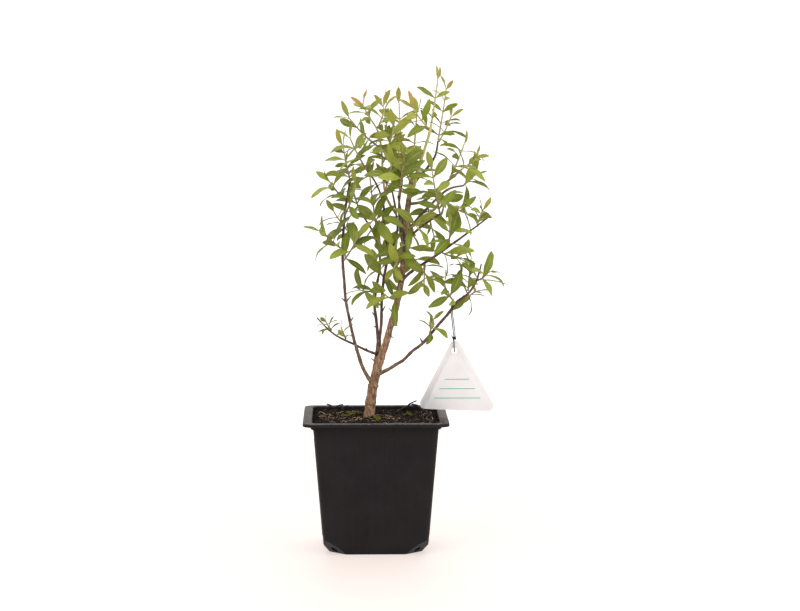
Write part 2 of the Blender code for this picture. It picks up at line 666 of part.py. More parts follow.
def tag_outline():
    """The rounded triangle of the tag, in mm, clockwise as seen from the front."""
    corners = [from_photo(*c, TAG_DEPTH) for c in (TAG_APEX, TAG_RIGHT, TAG_LEFT)]
    outline = []
    for i, corner in enumerate(corners):
        a = (corners[i - 1] - corner).normalized()
        b = (corners[(i + 1) % 3] - corner).normalized()
        half = a.angle(b) / 2
        middle = corner + (a + b).normalized() * TAG_CORNER_R / math.sin(half)
        start = (a + b).normalized()
        sweep = math.pi / 2 - half
        for k in range(5):
            turn = Matrix.Rotation(-sweep + 2 * sweep * k / 4, 3, "Y")
            outline.append(middle - (turn @ start) * TAG_CORNER_R)
    return outline


def tag_rings():
    """The tag's outline on its front and on its back."""
    outline = tag_outline()
    return [[p + Vector((0, side * TAG_THICK / 2, 0)) for p in outline] for side in (-1, 1)]


def build_tag(material):
    tag = make_object("tag", *loft(tag_rings()), material)
    hole = from_photo(*TAG_HOLE, TAG_DEPTH)
    rings = []
    for y in (-3, 3):
        rings.append([hole + Vector((TAG_HOLE_R * math.cos(a), y, TAG_HOLE_R * math.sin(a)))
                      for a in (2 * math.pi * k / 16 for k in range(16))])
    return boolean(tag, make_object("punch", *loft(rings)), "DIFFERENCE")


def arc(centre, radius, start, end, count, x_from, x_to, tall=1.0):
    """Points of a turn in the Y-Z plane, drifting sideways from x_from to x_to."""
    out = []
    for k in range(count + 1):
        t = k / count
        a = start + (end - start) * t
        out.append(Vector((x_from + (x_to - x_from) * t,
                           centre.y + radius * math.cos(a), centre.z + radius * tall * math.sin(a))))
    return out


def tie_route(lines):
    """From the knot down through the tag's hole, up behind it, over the branch and back to the knot."""
    hole = from_photo(*TAG_HOLE, TAG_DEPTH)
    over, radius = nearest_on(lines["tag_branch"][0], 452.0, 308.5)
    loop = radius + TIE_R + CLEARANCE + 0.45
    knot_z = hole.z + 10.5
    low_turn = Vector((0, TAG_DEPTH, hole.z + 0.2))
    front = TAG_DEPTH - TIE_TURN
    back = TAG_DEPTH + TIE_TURN
    route = [Vector((hole.x - 2.6, front - 1.2, knot_z + 3.4)),
             Vector((hole.x - 1.6, front - 0.9, knot_z + 1.2)),
             Vector((hole.x - 0.7, front - 0.3, knot_z - 1.2)),
             Vector((hole.x - 0.3, front, knot_z - 4.5))]
    route += arc(low_turn, TIE_TURN, math.pi, 2 * math.pi, 8, hole.x - 0.2, hole.x + 0.2)
    route += [Vector((hole.x, back, knot_z - 4.5)), Vector((hole.x - TIE_APART, back, knot_z + 3.0))]
    route += [Vector((over.x - TIE_APART, over.y + loop, over.z - 4.0))]
    route += arc(over, loop, 0.0, math.pi, 8, over.x - TIE_APART, over.x + TIE_APART, tall=1.3)
    route += [Vector((over.x + TIE_APART, over.y - loop, over.z - 4.0)),
              Vector((hole.x + TIE_APART, front + 0.2, knot_z + 6.0)),
              Vector((hole.x + TIE_APART, front + 0.1, knot_z + 1.6))]
    return route


def build_tie(route, material):
    curve = bpy.data.curves.new("tag_tie", "CURVE")
    curve.dimensions = "3D"
    curve.bevel_depth = TIE_R * MM
    curve.bevel_resolution = 2
    curve.use_fill_caps = True
    spline = curve.splines.new("POLY")
    spline.points.add(len(route) - 1)
    for point, place in zip(spline.points, route):
        point.co = (*(place * MM), 1.0)
    curve.materials.append(material)
    obj = bpy.data.objects.new("tag_tie", curve)
    bpy.context.scene.collection.objects.link(obj)
    return obj


def build_wood(lines, material):
    """The trunk with every branch and spur joined into one body."""
    rest = bpy.data.collections.new("branches")
    bpy.context.scene.collection.children.link(rest)
    trunk = None
    for index, (name, (line, sides)) in enumerate(lines.items()):
        points, faces = tube(line, sides, spin=0.37 * index)
        if name == "trunk":
            trunk = make_object("tree_wood", points, faces, material)
        else:
            make_object(name, points, faces, collection=rest)
    for index, line in enumerate(spur_lines(lines)):
        make_object("spur_%d" % index, *tube(line, 4, spin=0.21 * index), collection=rest)
    return boolean(trunk, rest, "UNION")


def build_spray(name, line, leaves, material):
    """One twig with its leaves, their stalks sunk into it, as one body."""
    twig = make_object(name, *tube(line, TWIG_SIDES), material)
    rest = bpy.data.collections.new("leaves")
    bpy.context.scene.collection.children.link(rest)
    for index, leaf in enumerate(leaves):
        make_object("leaf_%d" % index, *leaf_mesh(leaf), collection=rest)
    return boolean(twig, rest, "UNION")


def main():
    clear_scene()
    plastic = make_material("pot_plastic", (0.024, 0.021, 0.021), 0.5)
    peat = make_material("peat_soil", (0.030, 0.017, 0.010), 0.95)
    bark = make_material("bark", (0.20, 0.11, 0.06), 0.8)
    green = make_material("leaf_green", (0.14, 0.27, 0.03), 0.45)
    white = make_material("tag_plastic", (0.85, 0.83, 0.82), 0.4)
    black = make_material("tie_cord", (0.012, 0.012, 0.012), 0.7)
    build_pot(plastic)
    build_soil(peat)
    lines = wood_lines()
    build_wood(lines, bark)
    build_tag(white)
    route = tie_route(lines)
    build_tie(route, black)

    space = taken_space(lines, route)
    twigs = {}
    for spec in SPRAYS:
        twigs[spec[0]] = clear_twig(space, lines, spec)
        space.add(spec[0], *tube(twigs[spec[0]], TWIG_SIDES))
    for index, spec in enumerate(SPRAYS):
        leaves = place_leaves(space, spec, twigs[spec[0]], random.Random(SEED + 101 * index))
        build_spray(spec[0], twigs[spec[0]], leaves, green)


main()
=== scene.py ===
# %% [markdown]
# A young pomegranate in a square nursery pot
#
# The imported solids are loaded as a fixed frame, and each of them is then dressed by a finer piece that
# keeps its place: a moulded pot, a peat crust, a barked stem and some four hundred thin leaves. The
# leaves have to sit exactly where the solids have theirs, so this file repeats the same measured lists
# and the same seeded placing, and only the last step, the blade itself, is made finer.

import json
import math
import random

import bpy
import bmesh
from mathutils import Matrix, Quaternion, Vector, noise
from mathutils.bvhtree import BVHTree
from mathutils.kdtree import KDTree

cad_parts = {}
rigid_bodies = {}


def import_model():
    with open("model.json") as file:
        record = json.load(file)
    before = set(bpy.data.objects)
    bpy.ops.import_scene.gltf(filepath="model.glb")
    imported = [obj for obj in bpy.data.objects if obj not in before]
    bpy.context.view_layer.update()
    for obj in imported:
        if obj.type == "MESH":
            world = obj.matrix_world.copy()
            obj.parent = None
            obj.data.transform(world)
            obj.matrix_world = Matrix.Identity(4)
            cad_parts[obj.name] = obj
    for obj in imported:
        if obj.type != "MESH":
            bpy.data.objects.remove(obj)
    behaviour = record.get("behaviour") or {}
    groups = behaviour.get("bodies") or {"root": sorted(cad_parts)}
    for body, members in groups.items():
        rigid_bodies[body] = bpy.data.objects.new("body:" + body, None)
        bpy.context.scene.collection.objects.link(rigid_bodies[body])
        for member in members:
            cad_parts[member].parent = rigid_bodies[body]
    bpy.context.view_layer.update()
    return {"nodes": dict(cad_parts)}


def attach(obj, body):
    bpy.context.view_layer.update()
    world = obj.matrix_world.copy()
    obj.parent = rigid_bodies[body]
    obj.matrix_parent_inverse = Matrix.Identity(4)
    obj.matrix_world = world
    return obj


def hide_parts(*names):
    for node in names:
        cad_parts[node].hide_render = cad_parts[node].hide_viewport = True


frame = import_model()
print("solids", len(frame["nodes"]))

# %% [markdown]
# The camera comes first. Its place was worked out from the pot, whose rim and foot are squares of
# known size: four corners and two edges fix the distance, the height and the slight downward tilt.
# The same numbers turn any place on the photograph, plus a depth, into a point of the frame.

# %% Photograph to frame
MM = 0.001
CLEARANCE = 0.3
EYE = Vector((-26.0, -2227.0, 427.0))
PITCH = 0.0928
YAW = 0.0217
FOCAL_PX = 2478.0
PHOTO_WIDE = 800.0
PHOTO_MIDDLE = (PHOTO_WIDE / 2, 305.5)
SENSOR_MM = 36.0
UP = Vector((0, 0, 1))


def from_photo(px, py, depth):
    """The point, in mm, seen at a place on the photo and lying at a depth along +Y."""
    ahead = Vector((math.sin(YAW) * math.cos(PITCH), math.cos(YAW) * math.cos(PITCH), -math.sin(PITCH)))
    right = ahead.cross(UP).normalized()
    up = right.cross(ahead)
    ray = ahead + right * (px - PHOTO_MIDDLE[0]) / FOCAL_PX - up * (py - PHOTO_MIDDLE[1]) / FOCAL_PX
    return EYE + ray * (depth - EYE.y) / ray.y


# %% Camera
def add_camera():
    data = bpy.data.cameras.new("camera")
    data.sensor_width = SENSOR_MM
    data.lens = FOCAL_PX * SENSOR_MM / PHOTO_WIDE
    data.clip_end = 20.0
    camera = bpy.data.objects.new("camera", data)
    camera.location = EYE * MM
    camera.rotation_euler = (math.pi / 2 - PITCH, 0.0, -YAW)
    bpy.context.scene.collection.objects.link(camera)
    bpy.context.scene.camera = camera
    print("lens", round(data.lens, 1), "mm")


add_camera()

# %% [markdown]
# Next come the measured sizes, in millimetres: the pot from its corners in the photograph, the woody
# frame as a list of points with a radius at each, and the leafy shoots as a foot, a tip, a depth, a
# number of leaf pairs and a leaf length. Places are pixels of the photograph and depths are
# millimetres, so a branch that turns out to sit a little too low is quick to correct.

# %% Pot, soil and tag sizes
RIM_HALF = 65.0
RIM_TOP = 120.6
RIM_WIDTH = 7.4
RIM_THICK = 1.4
LIP_DROP = 3.0
WALL = 1.3
COLLAR_HALF = 58.0
COLLAR_LOW = 114.2
WALL_TOP_HALF = 55.8
WALL_LOW_HALF = 46.9
CREASE_Z = 7.6
FOOT_HALF = 41.5
FLOOR = 1.8
CORNER_R = 7.0
FACET_ALONG = 15.0
FACET_HIGH = 12.5
DRAIN_R = 3.2
DRAIN_OUT = 4.2
SOIL_TOP = 117.0
SOIL_HOLE_LOW = 92.0
TAG_DEPTH = -15.0
TAG_THICK = 1.0
TAG_APEX = (455.0, 334.5)
TAG_LEFT = (416.5, 408.6)
TAG_RIGHT = (497.5, 411.6)
TAG_HOLE = (454.3, 350.5)
TAG_HOLE_R = 2.6
TAG_CORNER_R = 4.8
TIE_R = 0.42
TIE_TURN = 1.75
TIE_APART = 0.5
KNOT_UP = 10.5
SPUR_R, SPUR_TIP_R = 0.95, 0.4
TWIG_R, TWIG_TAPER, TWIG_BOW = 0.90, 0.25, 0.10

# %% Leaf sizes
LEAF_STATIONS = (0, 5, 10)
LEAF_FULLNESS = 1.12
LEAF_STEPS = 10
LEAF_KEEL = 0.95
LEAF_LENGTH = 24.0
LEAF_WIDTH = 7.2
LEAF_GROWTH = 1.14
CROWN_X = 20.0
TWIG_POINTS = 4
TWIG_SIDES = 4
TWIG_TRIES = 45
TWIG_PUSH = 0.12
LEAF_TRIES = 14
STALK = 0.14
SEED = 11

# %% Branches, spurs and leafy shoots
WOOD = [
    ("trunk", 9, [(368.8, 441, 0, 5.4), (369, 424, 0, 5.5), (369.4, 414, 0, 4.9), (370.6, 402, 0, 4.6),
                  (372.6, 388, 0, 4.4), (376.5, 373, -1, 3.8), (382, 355, -2, 3.3), (386.5, 341, -2, 3.1),
                  (391.5, 323, -2, 2.9), (396.5, 305, -2, 2.8), (400, 288, -1, 2.7), (402.6, 268, 0, 2.7),
                  (404.5, 246, 0, 2.6), (405.8, 224, 0, 2.5), (408.5, 202, 0, 2.4), (411.2, 181, 0, 2.1)]),
    ("left_stem", 7, [(371, 392, 2, 3.0), (373.6, 377, 5, 2.7), (376, 364, 7, 2.5), (378, 350, 8, 2.3),
                      (379.2, 340, 8, 1.9)]),
    ("left_stem_a", 5, [(378.6, 346, 8, 1.6), (376.6, 323, 11, 1.4), (374.6, 305, 14, 1.3),
                        (376.4, 287, 17, 1.2), (379.8, 268, 20, 1.1), (379.4, 250, 24, 1.0),
                        (376, 226, 28, 0.8)]),
    ("left_stem_b", 5, [(379.4, 344, 8, 1.5), (381.2, 324, 7, 1.4), (381.8, 301, 5, 1.3),
                        (384, 278, 8, 1.3), (388.5, 257, 11, 1.2), (397, 233, 14, 1.0), (396, 212, 20, 0.9),
                        (392, 190, 24, 0.8)]),
    ("cross_branch", 5, [(377.5, 356, 6, 1.2), (383.5, 347, 3, 1.2), (388.5, 336, -1, 1.1)]),
    ("left_leader", 6, [(370, 385, -1, 2.0), (364.5, 371, -4, 1.7), (360, 360, -7, 1.6),
                        (353.8, 339, -11, 1.4), (349.4, 319, -14, 1.35), (345.8, 301, -16, 1.3),
                        (344.2, 281, -17, 1.3), (342.8, 262, -17, 1.3), (343, 238, -16, 1.2),
                        (344.4, 219, -14, 1.1), (346.2, 203, -12, 1.0), (350.5, 178, -8, 0.85)]),
    ("low_left", 5, [(375.5, 354, 5, 1.2), (368, 351, 1, 1.1), (354.5, 344.5, 4, 1.0),
                     (339.2, 337.3, 8, 0.9), (329, 330, 12, 0.8), (316.8, 317.6, 16, 0.6)]),
    ("tag_branch", 6, [(377, 376, -2, 2.0), (387, 370, -5, 1.7), (396, 364.5, -8, 1.55),
                       (404, 359.5, -10, 1.45), (413, 350.5, -12, 1.4), (423, 343, -14, 1.4),
                       (436.5, 327, -15, 1.3), (449.5, 312, -15, 1.25), (457, 301.5, -15, 1.15),
                       (467.7, 294, -16, 1.1), (476.3, 281, -19, 0.9), (481.4, 263.7, -22, 0.6)]),
    ("right_branch", 5, [(402, 283, -1, 1.4), (410.5, 272.3, -6, 1.3), (434.5, 256.5, -20, 1.15),
                         (449, 246.3, -27, 1.05), (463.5, 236, -33, 0.9), (490, 216, -42, 0.6)]),
    ("right_back", 5, [(405.5, 236, 1, 1.5), (415, 222, 10, 1.4), (428, 207.5, 20, 1.2),
                       (447, 190, 32, 1.0), (464, 185.5, 42, 0.7)]),
    ("right_high", 5, [(408, 204, 0, 1.4), (424, 201, -8, 1.3), (439.6, 187.3, -16, 1.2),
                       (452.5, 177.3, -24, 1.0), (462.6, 168.6, -28, 0.8)]),
    ("upper_right", 5, [(410, 190, 1, 1.4), (418, 178, 8, 1.3), (426.6, 168.6, 14, 1.2),
                        (435.2, 155.7, 20, 1.0), (438, 141, 22, 0.9)]),
    ("young_shoot", 6, [(409.5, 200, -1, 1.5), (413.5, 188, -6, 1.5), (418.5, 168, -8, 1.4),
                        (424, 151, -9, 1.3), (429, 135, -9, 1.2), (431.5, 123, -9, 1.0)]),
    ("pink_shoot", 5, [(395.5, 214, 18, 1.1), (386, 196, 8, 1.1), (382.6, 172, 0, 1.0),
                       (382, 156, -4, 0.9), (378.5, 133, -8, 0.9), (370.5, 119, -10, 0.7)]),
    ("inner_left", 5, [(388.5, 256, 11, 1.0), (384, 226, -2, 0.9), (383.5, 204, -12, 0.9),
                       (376.3, 184, -22, 0.8), (367.7, 171.5, -30, 0.7)]),
    ("mid_left", 5, [(380, 270, 19, 1.0), (366, 250, 24, 0.9), (352, 236, 30, 0.8)]),
    ("back_left", 5, [(379.6, 252, 23, 1.0), (372, 230, 36, 0.9), (358, 209, 44, 0.7)]),
    ("back_stem", 5, [(404.4, 250, 1, 1.5), (401, 230, 18, 1.3), (399, 205, 30, 1.1),
                      (402, 180, 38, 1.0), (402, 158, 40, 0.8)]),
    ("front_stem", 5, [(403.6, 258, 0, 1.4), (404, 240, -16, 1.2), (402, 218, -28, 1.0),
                       (398, 196, -36, 0.8)]),
    ("front_right", 5, [(404, 244, -1, 1.3), (415, 232, -16, 1.1), (428, 222, -32, 0.9),
                        (440, 214, -44, 0.7)]),
]

SPURS = [
    ("left_leader", (345.9, 302), (341.6, 298), -18), ("left_leader", (345.9, 302), (351, 296), -14),
    ("left_leader", (350, 322), (353.4, 317), -17), ("left_stem_a", (376.2, 318), (372, 312), 9),
    ("left_stem_a", (377, 328), (373.6, 326), 14), ("left_stem_b", (381.5, 312), (385.2, 306), 2),
    ("trunk", (391, 325), (397.6, 325.5), -7), ("trunk", (388, 336), (393.5, 337.5), 2),
    ("trunk", (372, 392), (378.5, 385), 4), ("trunk", (394, 314), (388.6, 308), -7),
    ("tag_branch", (423, 343), (420, 338), -17), ("tag_branch", (449.5, 312), (447.6, 316.5), -14),
    ("left_stem", (376.2, 362), (371, 358), 9), ("low_left", (368, 351), (366, 348), -1),
]

SPRAYS = [
    ("spray_top_spear", "young_shoot", (431.5, 123), (437.8, 79), -10, 3, 17),
    ("spray_top_twin", "upper_right", (438, 142), (446.2, 89), 22, 5, 17),
    ("spray_top_right", "upper_right", (437, 146), (451, 117), 34, 4, 19),
    ("spray_crown_dark", "young_shoot", (430, 130), (413, 108), -16, 4, 22),
    ("spray_crown_mid", "trunk", (411, 182), (416.8, 113), 4, 5, 20),
    ("spray_crown_back", "back_stem", (402, 159), (399, 103), 46, 4, 20),
    ("spray_crown_back_left", "back_stem", (400.6, 190), (383, 106), 50, 5, 21),
    ("spray_pink_tip", "pink_shoot", (371, 120), (363, 105), -14, 4, 18),
    ("spray_pink_high", "pink_shoot", (377, 130), (387, 103), -2, 4, 20),
    ("spray_pink_left", "pink_shoot", (381, 148), (349, 118), -22, 4, 22),
    ("spray_pink_front", "pink_shoot", (382.4, 166), (394, 127), -30, 5, 22),
    ("spray_inner_tip", "inner_left", (368, 172), (350, 138), -40, 4, 23),
    ("spray_inner_front", "inner_left", (382, 199), (392, 164), -46, 4, 23),
    ("spray_leader_tip", "left_leader", (350, 180), (343, 146), -8, 5, 21),
    ("spray_leader_left", "left_leader", (346.4, 202), (330, 182), -14, 5, 23),
    ("spray_leader_front", "left_leader", (344.6, 217), (356, 184), -42, 5, 22),
    ("spray_leader_low", "left_leader", (343, 250), (323, 232), -24, 4, 24),
    ("spray_leader_side", "left_leader", (342.8, 262), (358, 236), -44, 4, 22),
    ("spray_mid_left", "mid_left", (353, 237), (334, 212), 34, 5, 22),
    ("spray_back_left", "back_left", (359, 211), (346, 164), 50, 4, 22),
    ("spray_back_inner", "left_stem_a", (376.4, 228), (370, 178), 30, 4, 22),
    ("spray_stem_tip", "left_stem_b", (392.4, 192), (390, 138), 26, 5, 22),
    ("spray_low_stem", "left_stem_a", (376, 290), (360, 290), -2, 4, 21),
    ("spray_low_stem_back", "left_stem_b", (384, 279), (377, 262), 42, 3, 21),
    ("spray_low_left", "low_left", (333, 333), (326, 322), 8, 4, 12),
    ("spray_low_left_twig", "low_left", (347, 341), (341, 327), 2, 3, 12),
    ("spray_tag_low", "tag_branch", (429, 336), (433, 320), -24, 4, 16),
    ("spray_tag_mid", "tag_branch", (455, 304), (444, 284), -30, 4, 21),
    ("spray_tag_top", "tag_branch", (468, 294), (470, 266), -8, 5, 22),
    ("spray_tag_end", "tag_branch", (476, 282), (489, 272), -34, 4, 22),
    ("spray_tag_back", "tag_branch", (463, 297), (474, 292), 8, 4, 20),
    ("spray_right_low", "right_branch", (424, 264), (424, 284), -38, 4, 22),
    ("spray_right_mid", "right_branch", (440, 253), (462, 258), -20, 4, 22),
    ("spray_right_front", "right_branch", (449, 246), (450, 226), -54, 4, 21),
    ("spray_right_tip", "right_branch", (476, 227), (482, 211), -40, 4, 19),
    ("spray_back_right", "right_back", (440, 196), (472, 216), 34, 5, 22),
    ("spray_back_right_tip", "right_back", (462, 186), (474, 176), 50, 4, 20),
    ("spray_back_right_in", "right_back", (428, 207), (434, 236), 48, 4, 22),
    ("spray_high_tip", "right_high", (462, 169), (475.5, 158), -30, 4, 19),
    ("spray_high_mid", "right_high", (449, 180), (464.5, 143), -12, 5, 20),
    ("spray_high_front", "right_high", (438, 189), (450, 206), -44, 4, 21),
    ("spray_front_stem", "front_stem", (398.6, 198), (404, 158), -48, 6, 23),
    ("spray_front_low", "front_stem", (404, 240), (394, 268), -40, 5, 22),
    ("spray_front_right", "front_right", (440, 214), (432, 170), -54, 6, 22),
    ("spray_leader_mid", "trunk", (404.6, 244), (419, 264), 28, 4, 21),
    ("spray_back_low", "back_stem", (399.6, 212), (396, 236), 54, 4, 22),
    ("spray_crown_centre", "trunk", (411, 184), (398, 150), -22, 5, 22),
    ("spray_trunk_front", "front_stem", (403, 228), (420, 222), -52, 4, 24),
    ("spray_centre_left", "inner_left", (384, 224), (370, 216), -36, 4, 23),
    ("spray_stem_mid", "left_stem_b", (388.4, 257), (379, 240), -20, 4, 22),
    ("spray_trunk_low", "trunk", (398, 300), (384, 294), -26, 3, 23),
]


# %% [markdown]
# A tube is a string of rings. Each ring is turned so that it stays square to the line, and its first
# direction is carried along from ring to ring, which keeps the sides from twisting. Lofting rings of
# equal length into one closed body is all that the pot, the soil and the stems need.

# %% Rings, lofts and tubes
def loft(rings):
    """Points and faces of a closed body through rings of equal length."""
    count = len(rings[0])
    points = [p for ring in rings for p in ring]
    faces = [list(range(count))]
    for k in range(len(rings) - 1):
        for i in range(count):
            j = (i + 1) % count
            faces.append([k * count + i, k * count + j, (k + 1) * count + j, (k + 1) * count + i])
    faces.append([(len(rings) - 1) * count + i for i in range(count)])
    return points, faces


def tube(line, sides):
    """Points and faces of a closed tapering tube along (point, radius) pairs."""
    rings = []
    side = None
    for i, (point, radius) in enumerate(line):
        before = line[max(0, i - 1)][0]
        after = line[min(len(line) - 1, i + 1)][0]
        along = (after - before).normalized()
        if side is None:
            side = along.orthogonal().normalized()
        side = (side - along * side.dot(along)).normalized()
        other = along.cross(side)
        rings.append([point + (side * math.cos(a) + other * math.sin(a)) * radius
                      for a in (2 * math.pi * k / sides for k in range(sides))])
    return loft(rings)


def smooth_line(points, cuts):
    """Rounds a measured line of (point, radius) with a Catmull-Rom curve."""
    if len(points) < 3:
        return points
    out = []
    for i in range(len(points) - 1):
        p = [points[max(0, min(len(points) - 1, i + k))] for k in (-1, 0, 1, 2)]
        for c in range(cuts):
            t = c / cuts
            position = 0.5 * ((2 * p[1][0]) + (p[2][0] - p[0][0]) * t
                              + (2 * p[0][0] - 5 * p[1][0] + 4 * p[2][0] - p[3][0]) * t * t
                              + (3 * p[1][0] - p[0][0] - 3 * p[2][0] + p[3][0]) * t ** 3)
            out.append((position, p[1][1] + (p[2][1] - p[1][1]) * t))
    out.append(points[-1])
    return out


# %% Where the wood runs
ROUNDED = ("trunk", "left_leader", "tag_branch")
STEPS_BETWEEN = 10


def wood_lines():
    """Every branch as (point, radius) pairs, by name."""
    lines = {}
    for name, sides, points in WOOD:
        placed = [(from_photo(px, py, depth), radius) for px, py, depth, radius in points]
        if lines:
            placed[0] = (closest_wood(lines, placed[0][0]), placed[0][1])
        cuts = 2 if name in ROUNDED else 1
        lines[name] = (smooth_line(placed, cuts), sides)
    return lines


def closest_wood(lines, place):
    """The point inside the wood made so far that is nearest to a place."""
    best = None
    for line, _ in lines.values():
        for (a, _), (b, _) in zip(line, line[1:]):
            along = b - a
            t = max(0.0, min(1.0, (place - a).dot(along) / along.length_squared))
            point = a + along * t
            if best is None or (point - place).length < (best - place).length:
                best = point
    return best


def nearest_on(line, px, py):
    """Where a branch passes closest to a place on the photo: (point, radius)."""
    best = None
    for (a, ra), (b, rb) in zip(line, line[1:]):
        for k in range(STEPS_BETWEEN + 1):
            t = k / STEPS_BETWEEN
            point = a.lerp(b, t)
            seen = from_photo(px, py, point.y)
            distance = (seen - point).length
            if best is None or distance < best[0]:
                best = (distance, point, ra + (rb - ra) * t)
    return best[1], best[2]


def spur_lines(lines):
    """The short dead stubs along the branches, as (point, radius) pairs."""
    out = []
    for branch, start, tip, depth in SPURS:
        point, radius = nearest_on(lines[branch][0], *start)
        end = from_photo(*tip, depth)
        end = point + (end - point).normalized() * max((end - point).length, radius + 2.5)
        out.append([(point, min(SPUR_R, radius * 0.7)), (end, SPUR_TIP_R)])
    return out


def spray_line(lines, spec, push):
    """The twig of a spray: it leaves its branch just clear of the bark and curves upwards to its tip."""
    _, branch, start, tip, depth, _, _ = spec
    point, radius = nearest_on(lines[branch][0], *start)
    end = from_photo(*tip, depth)
    way = (end - point).normalized()
    first = point + way * (radius * 0.6 + push)
    reach = (end - first).length
    bow = UP - way * way.z
    middle = (first + end) / 2 - bow * reach * TWIG_BOW
    line = []
    for k in range(TWIG_POINTS):
        t = k / (TWIG_POINTS - 1)
        p = first * (1 - t) ** 2 + middle * 2 * t * (1 - t) + end * t * t
        line.append((p, TWIG_R - TWIG_TAPER * t))
    return line


lines = wood_lines()
print("branches", len(lines))

# %% [markdown]
# The tie is the one cord here. Its route comes early: from its knot it goes
# down in front of the tag, through the hole, up behind, over the branch and back down to the knot.

# %% Route of the tie
def arc(centre, radius, start, end, count, x_from, x_to, tall=1.0):
    """Points of a turn in the Y-Z plane, drifting sideways from x_from to x_to."""
    out = []
    for k in range(count + 1):
        t = k / count
        a = start + (end - start) * t
        out.append(Vector((x_from + (x_to - x_from) * t,
                           centre.y + radius * math.cos(a), centre.z + radius * tall * math.sin(a))))
    return out


def tie_route(lines):
    """From the knot down through the tag's hole, up behind it, over the branch and back to the knot."""
    hole = from_photo(*TAG_HOLE, TAG_DEPTH)
    over, radius = nearest_on(lines["tag_branch"][0], 452.0, 308.5)
    loop = radius + TIE_R + CLEARANCE + 0.45
    knot_z = hole.z + KNOT_UP
    low_turn = Vector((0, TAG_DEPTH, hole.z + 0.2))
    front = TAG_DEPTH - TIE_TURN
    back = TAG_DEPTH + TIE_TURN
    start = ((-2.6, -1.2, 3.4), (-1.6, -0.9, 1.2), (-0.7, -0.3, -1.2), (-0.3, 0.0, -4.5))
    route = [Vector((hole.x + x, front + y, knot_z + z)) for x, y, z in start]
    route += arc(low_turn, TIE_TURN, math.pi, 2 * math.pi, 8, hole.x - 0.2, hole.x + 0.2)
    route += [Vector((hole.x, back, knot_z - 4.5)), Vector((hole.x - TIE_APART, back, knot_z + 3.0)),
              Vector((over.x - TIE_APART, over.y + loop, over.z - 4.0))]
    route += arc(over, loop, 0.0, math.pi, 8, over.x - TIE_APART, over.x + TIE_APART, tall=1.3)
    route += [Vector((over.x + TIE_APART, over.y - loop, over.z - 4.0)),
              Vector((hole.x + TIE_APART, front + 0.2, knot_z + 6.0)),
              Vector((hole.x + TIE_APART, front + 0.1, knot_z + 1.6))]
    return route


route = tie_route(lines)
print("tie", round(sum((b - a).length for a, b in zip(route, route[1:])), 1), "mm")

# %% [markdown]
# Leaves stand in opposite pairs, each pair turned a quarter from the last. A leaf is turned and
# shortened until it hangs free of all that was placed before it. The tests and the random draws are
# those of the solids, so every leaf lands in its solid's place.

# %% Arch and outline of a leaf
def leaf_axis(leaf):
    """Eleven frames (point, side, normal) along the arched midrib of a leaf."""
    frames = []
    point = leaf["base"].copy()
    side = leaf["side"]
    way = leaf["way"].copy()
    step = leaf["length"] / LEAF_STEPS
    for k in range(LEAF_STEPS + 1):
        twist = Quaternion(way, leaf["twist"] * k / LEAF_STEPS)
        turned = twist @ side
        frames.append((point.copy(), turned, turned.cross(way).normalized()))
        share = (k + 0.5) / LEAF_STEPS
        way = Quaternion(side, -leaf["droop"] * 1.5 * share ** 0.5 / LEAF_STEPS) @ way
        point += way * step
    return frames


def leaf_share(t):
    """Width of the blade along its length, as a share of its widest part."""
    if t < STALK:
        return 0.17 + 0.10 * max(0.0, t) / STALK
    if t >= 1.0:
        return 0.0
    u = (t - STALK) / (1 - STALK)
    swell = math.sin(math.pi * (0.93 * u) ** 0.86)
    return max(0.0, 0.27 + 0.73 * swell - 0.27 * u ** 3)


def leaf_mesh(leaf, thick=LEAF_KEEL, grow=0.0, first=0):
    """A closed blade with a keel under its midrib; grow widens it for the test of free space."""
    frames = leaf_axis(leaf)
    stations = LEAF_STATIONS[first:]
    points = []
    for k in stations[:-1]:
        point, side, normal = frames[k]
        half = max(0.40, LEAF_FULLNESS * leaf["width"] / 2 * leaf_share(k / LEAF_STEPS)) + grow
        lift = normal * (0.12 * half + grow)
        keel = normal * (thick if k else thick - 0.5)
        points += [point - side * half + lift, point + side * half + lift, point - keel]
    tip, _, normal = frames[stations[-1]]
    points.append(tip)
    count = len(stations) - 1
    faces = [[0, 1, 2]]
    for k in range(count - 1):
        for i in range(3):
            j = (i + 1) % 3
            faces.append([k * 3 + i, k * 3 + j, k * 3 + 3 + j, k * 3 + 3 + i])
    last = (count - 1) * 3
    for i in range(3):
        faces.append([last + i, last + (i + 1) % 3, len(points) - 1])
    return points, faces


def make_leaf(base, along, turn, spread, roll, droop, twist, length, width):
    """A leaf's measures; its face looks up and away from the middle of the crown."""
    out = Quaternion(along, turn) @ along.orthogonal().normalized()
    way = (along * math.cos(spread) + out * math.sin(spread)).normalized()
    away = Vector((base.x - CROWN_X, base.y, 0.0)).normalized()
    side = way.cross(UP * 0.6 + along * 0.35 + away * 0.75)
    if side.length < 0.1:
        side = way.orthogonal()
    side = Quaternion(way, roll) @ side.normalized()
    return {"base": base, "way": way, "side": side, "droop": droop, "twist": twist,
            "length": length, "width": width}


def on_line(line, t):
    """Point and direction at a share of the way along a twig."""
    place = t * (len(line) - 1)
    i = min(int(place), len(line) - 2)
    a, b = line[i][0], line[i + 1][0]
    return a.lerp(b, place - i), (b - a).normalized()


# %% Free space
def measure(points, faces):
    """A shape's middle, its reach from there and its search tree."""
    middle = sum(points, Vector()) / len(points)
    return middle, max((p - middle).length for p in points), BVHTree.FromPolygons(points, faces)


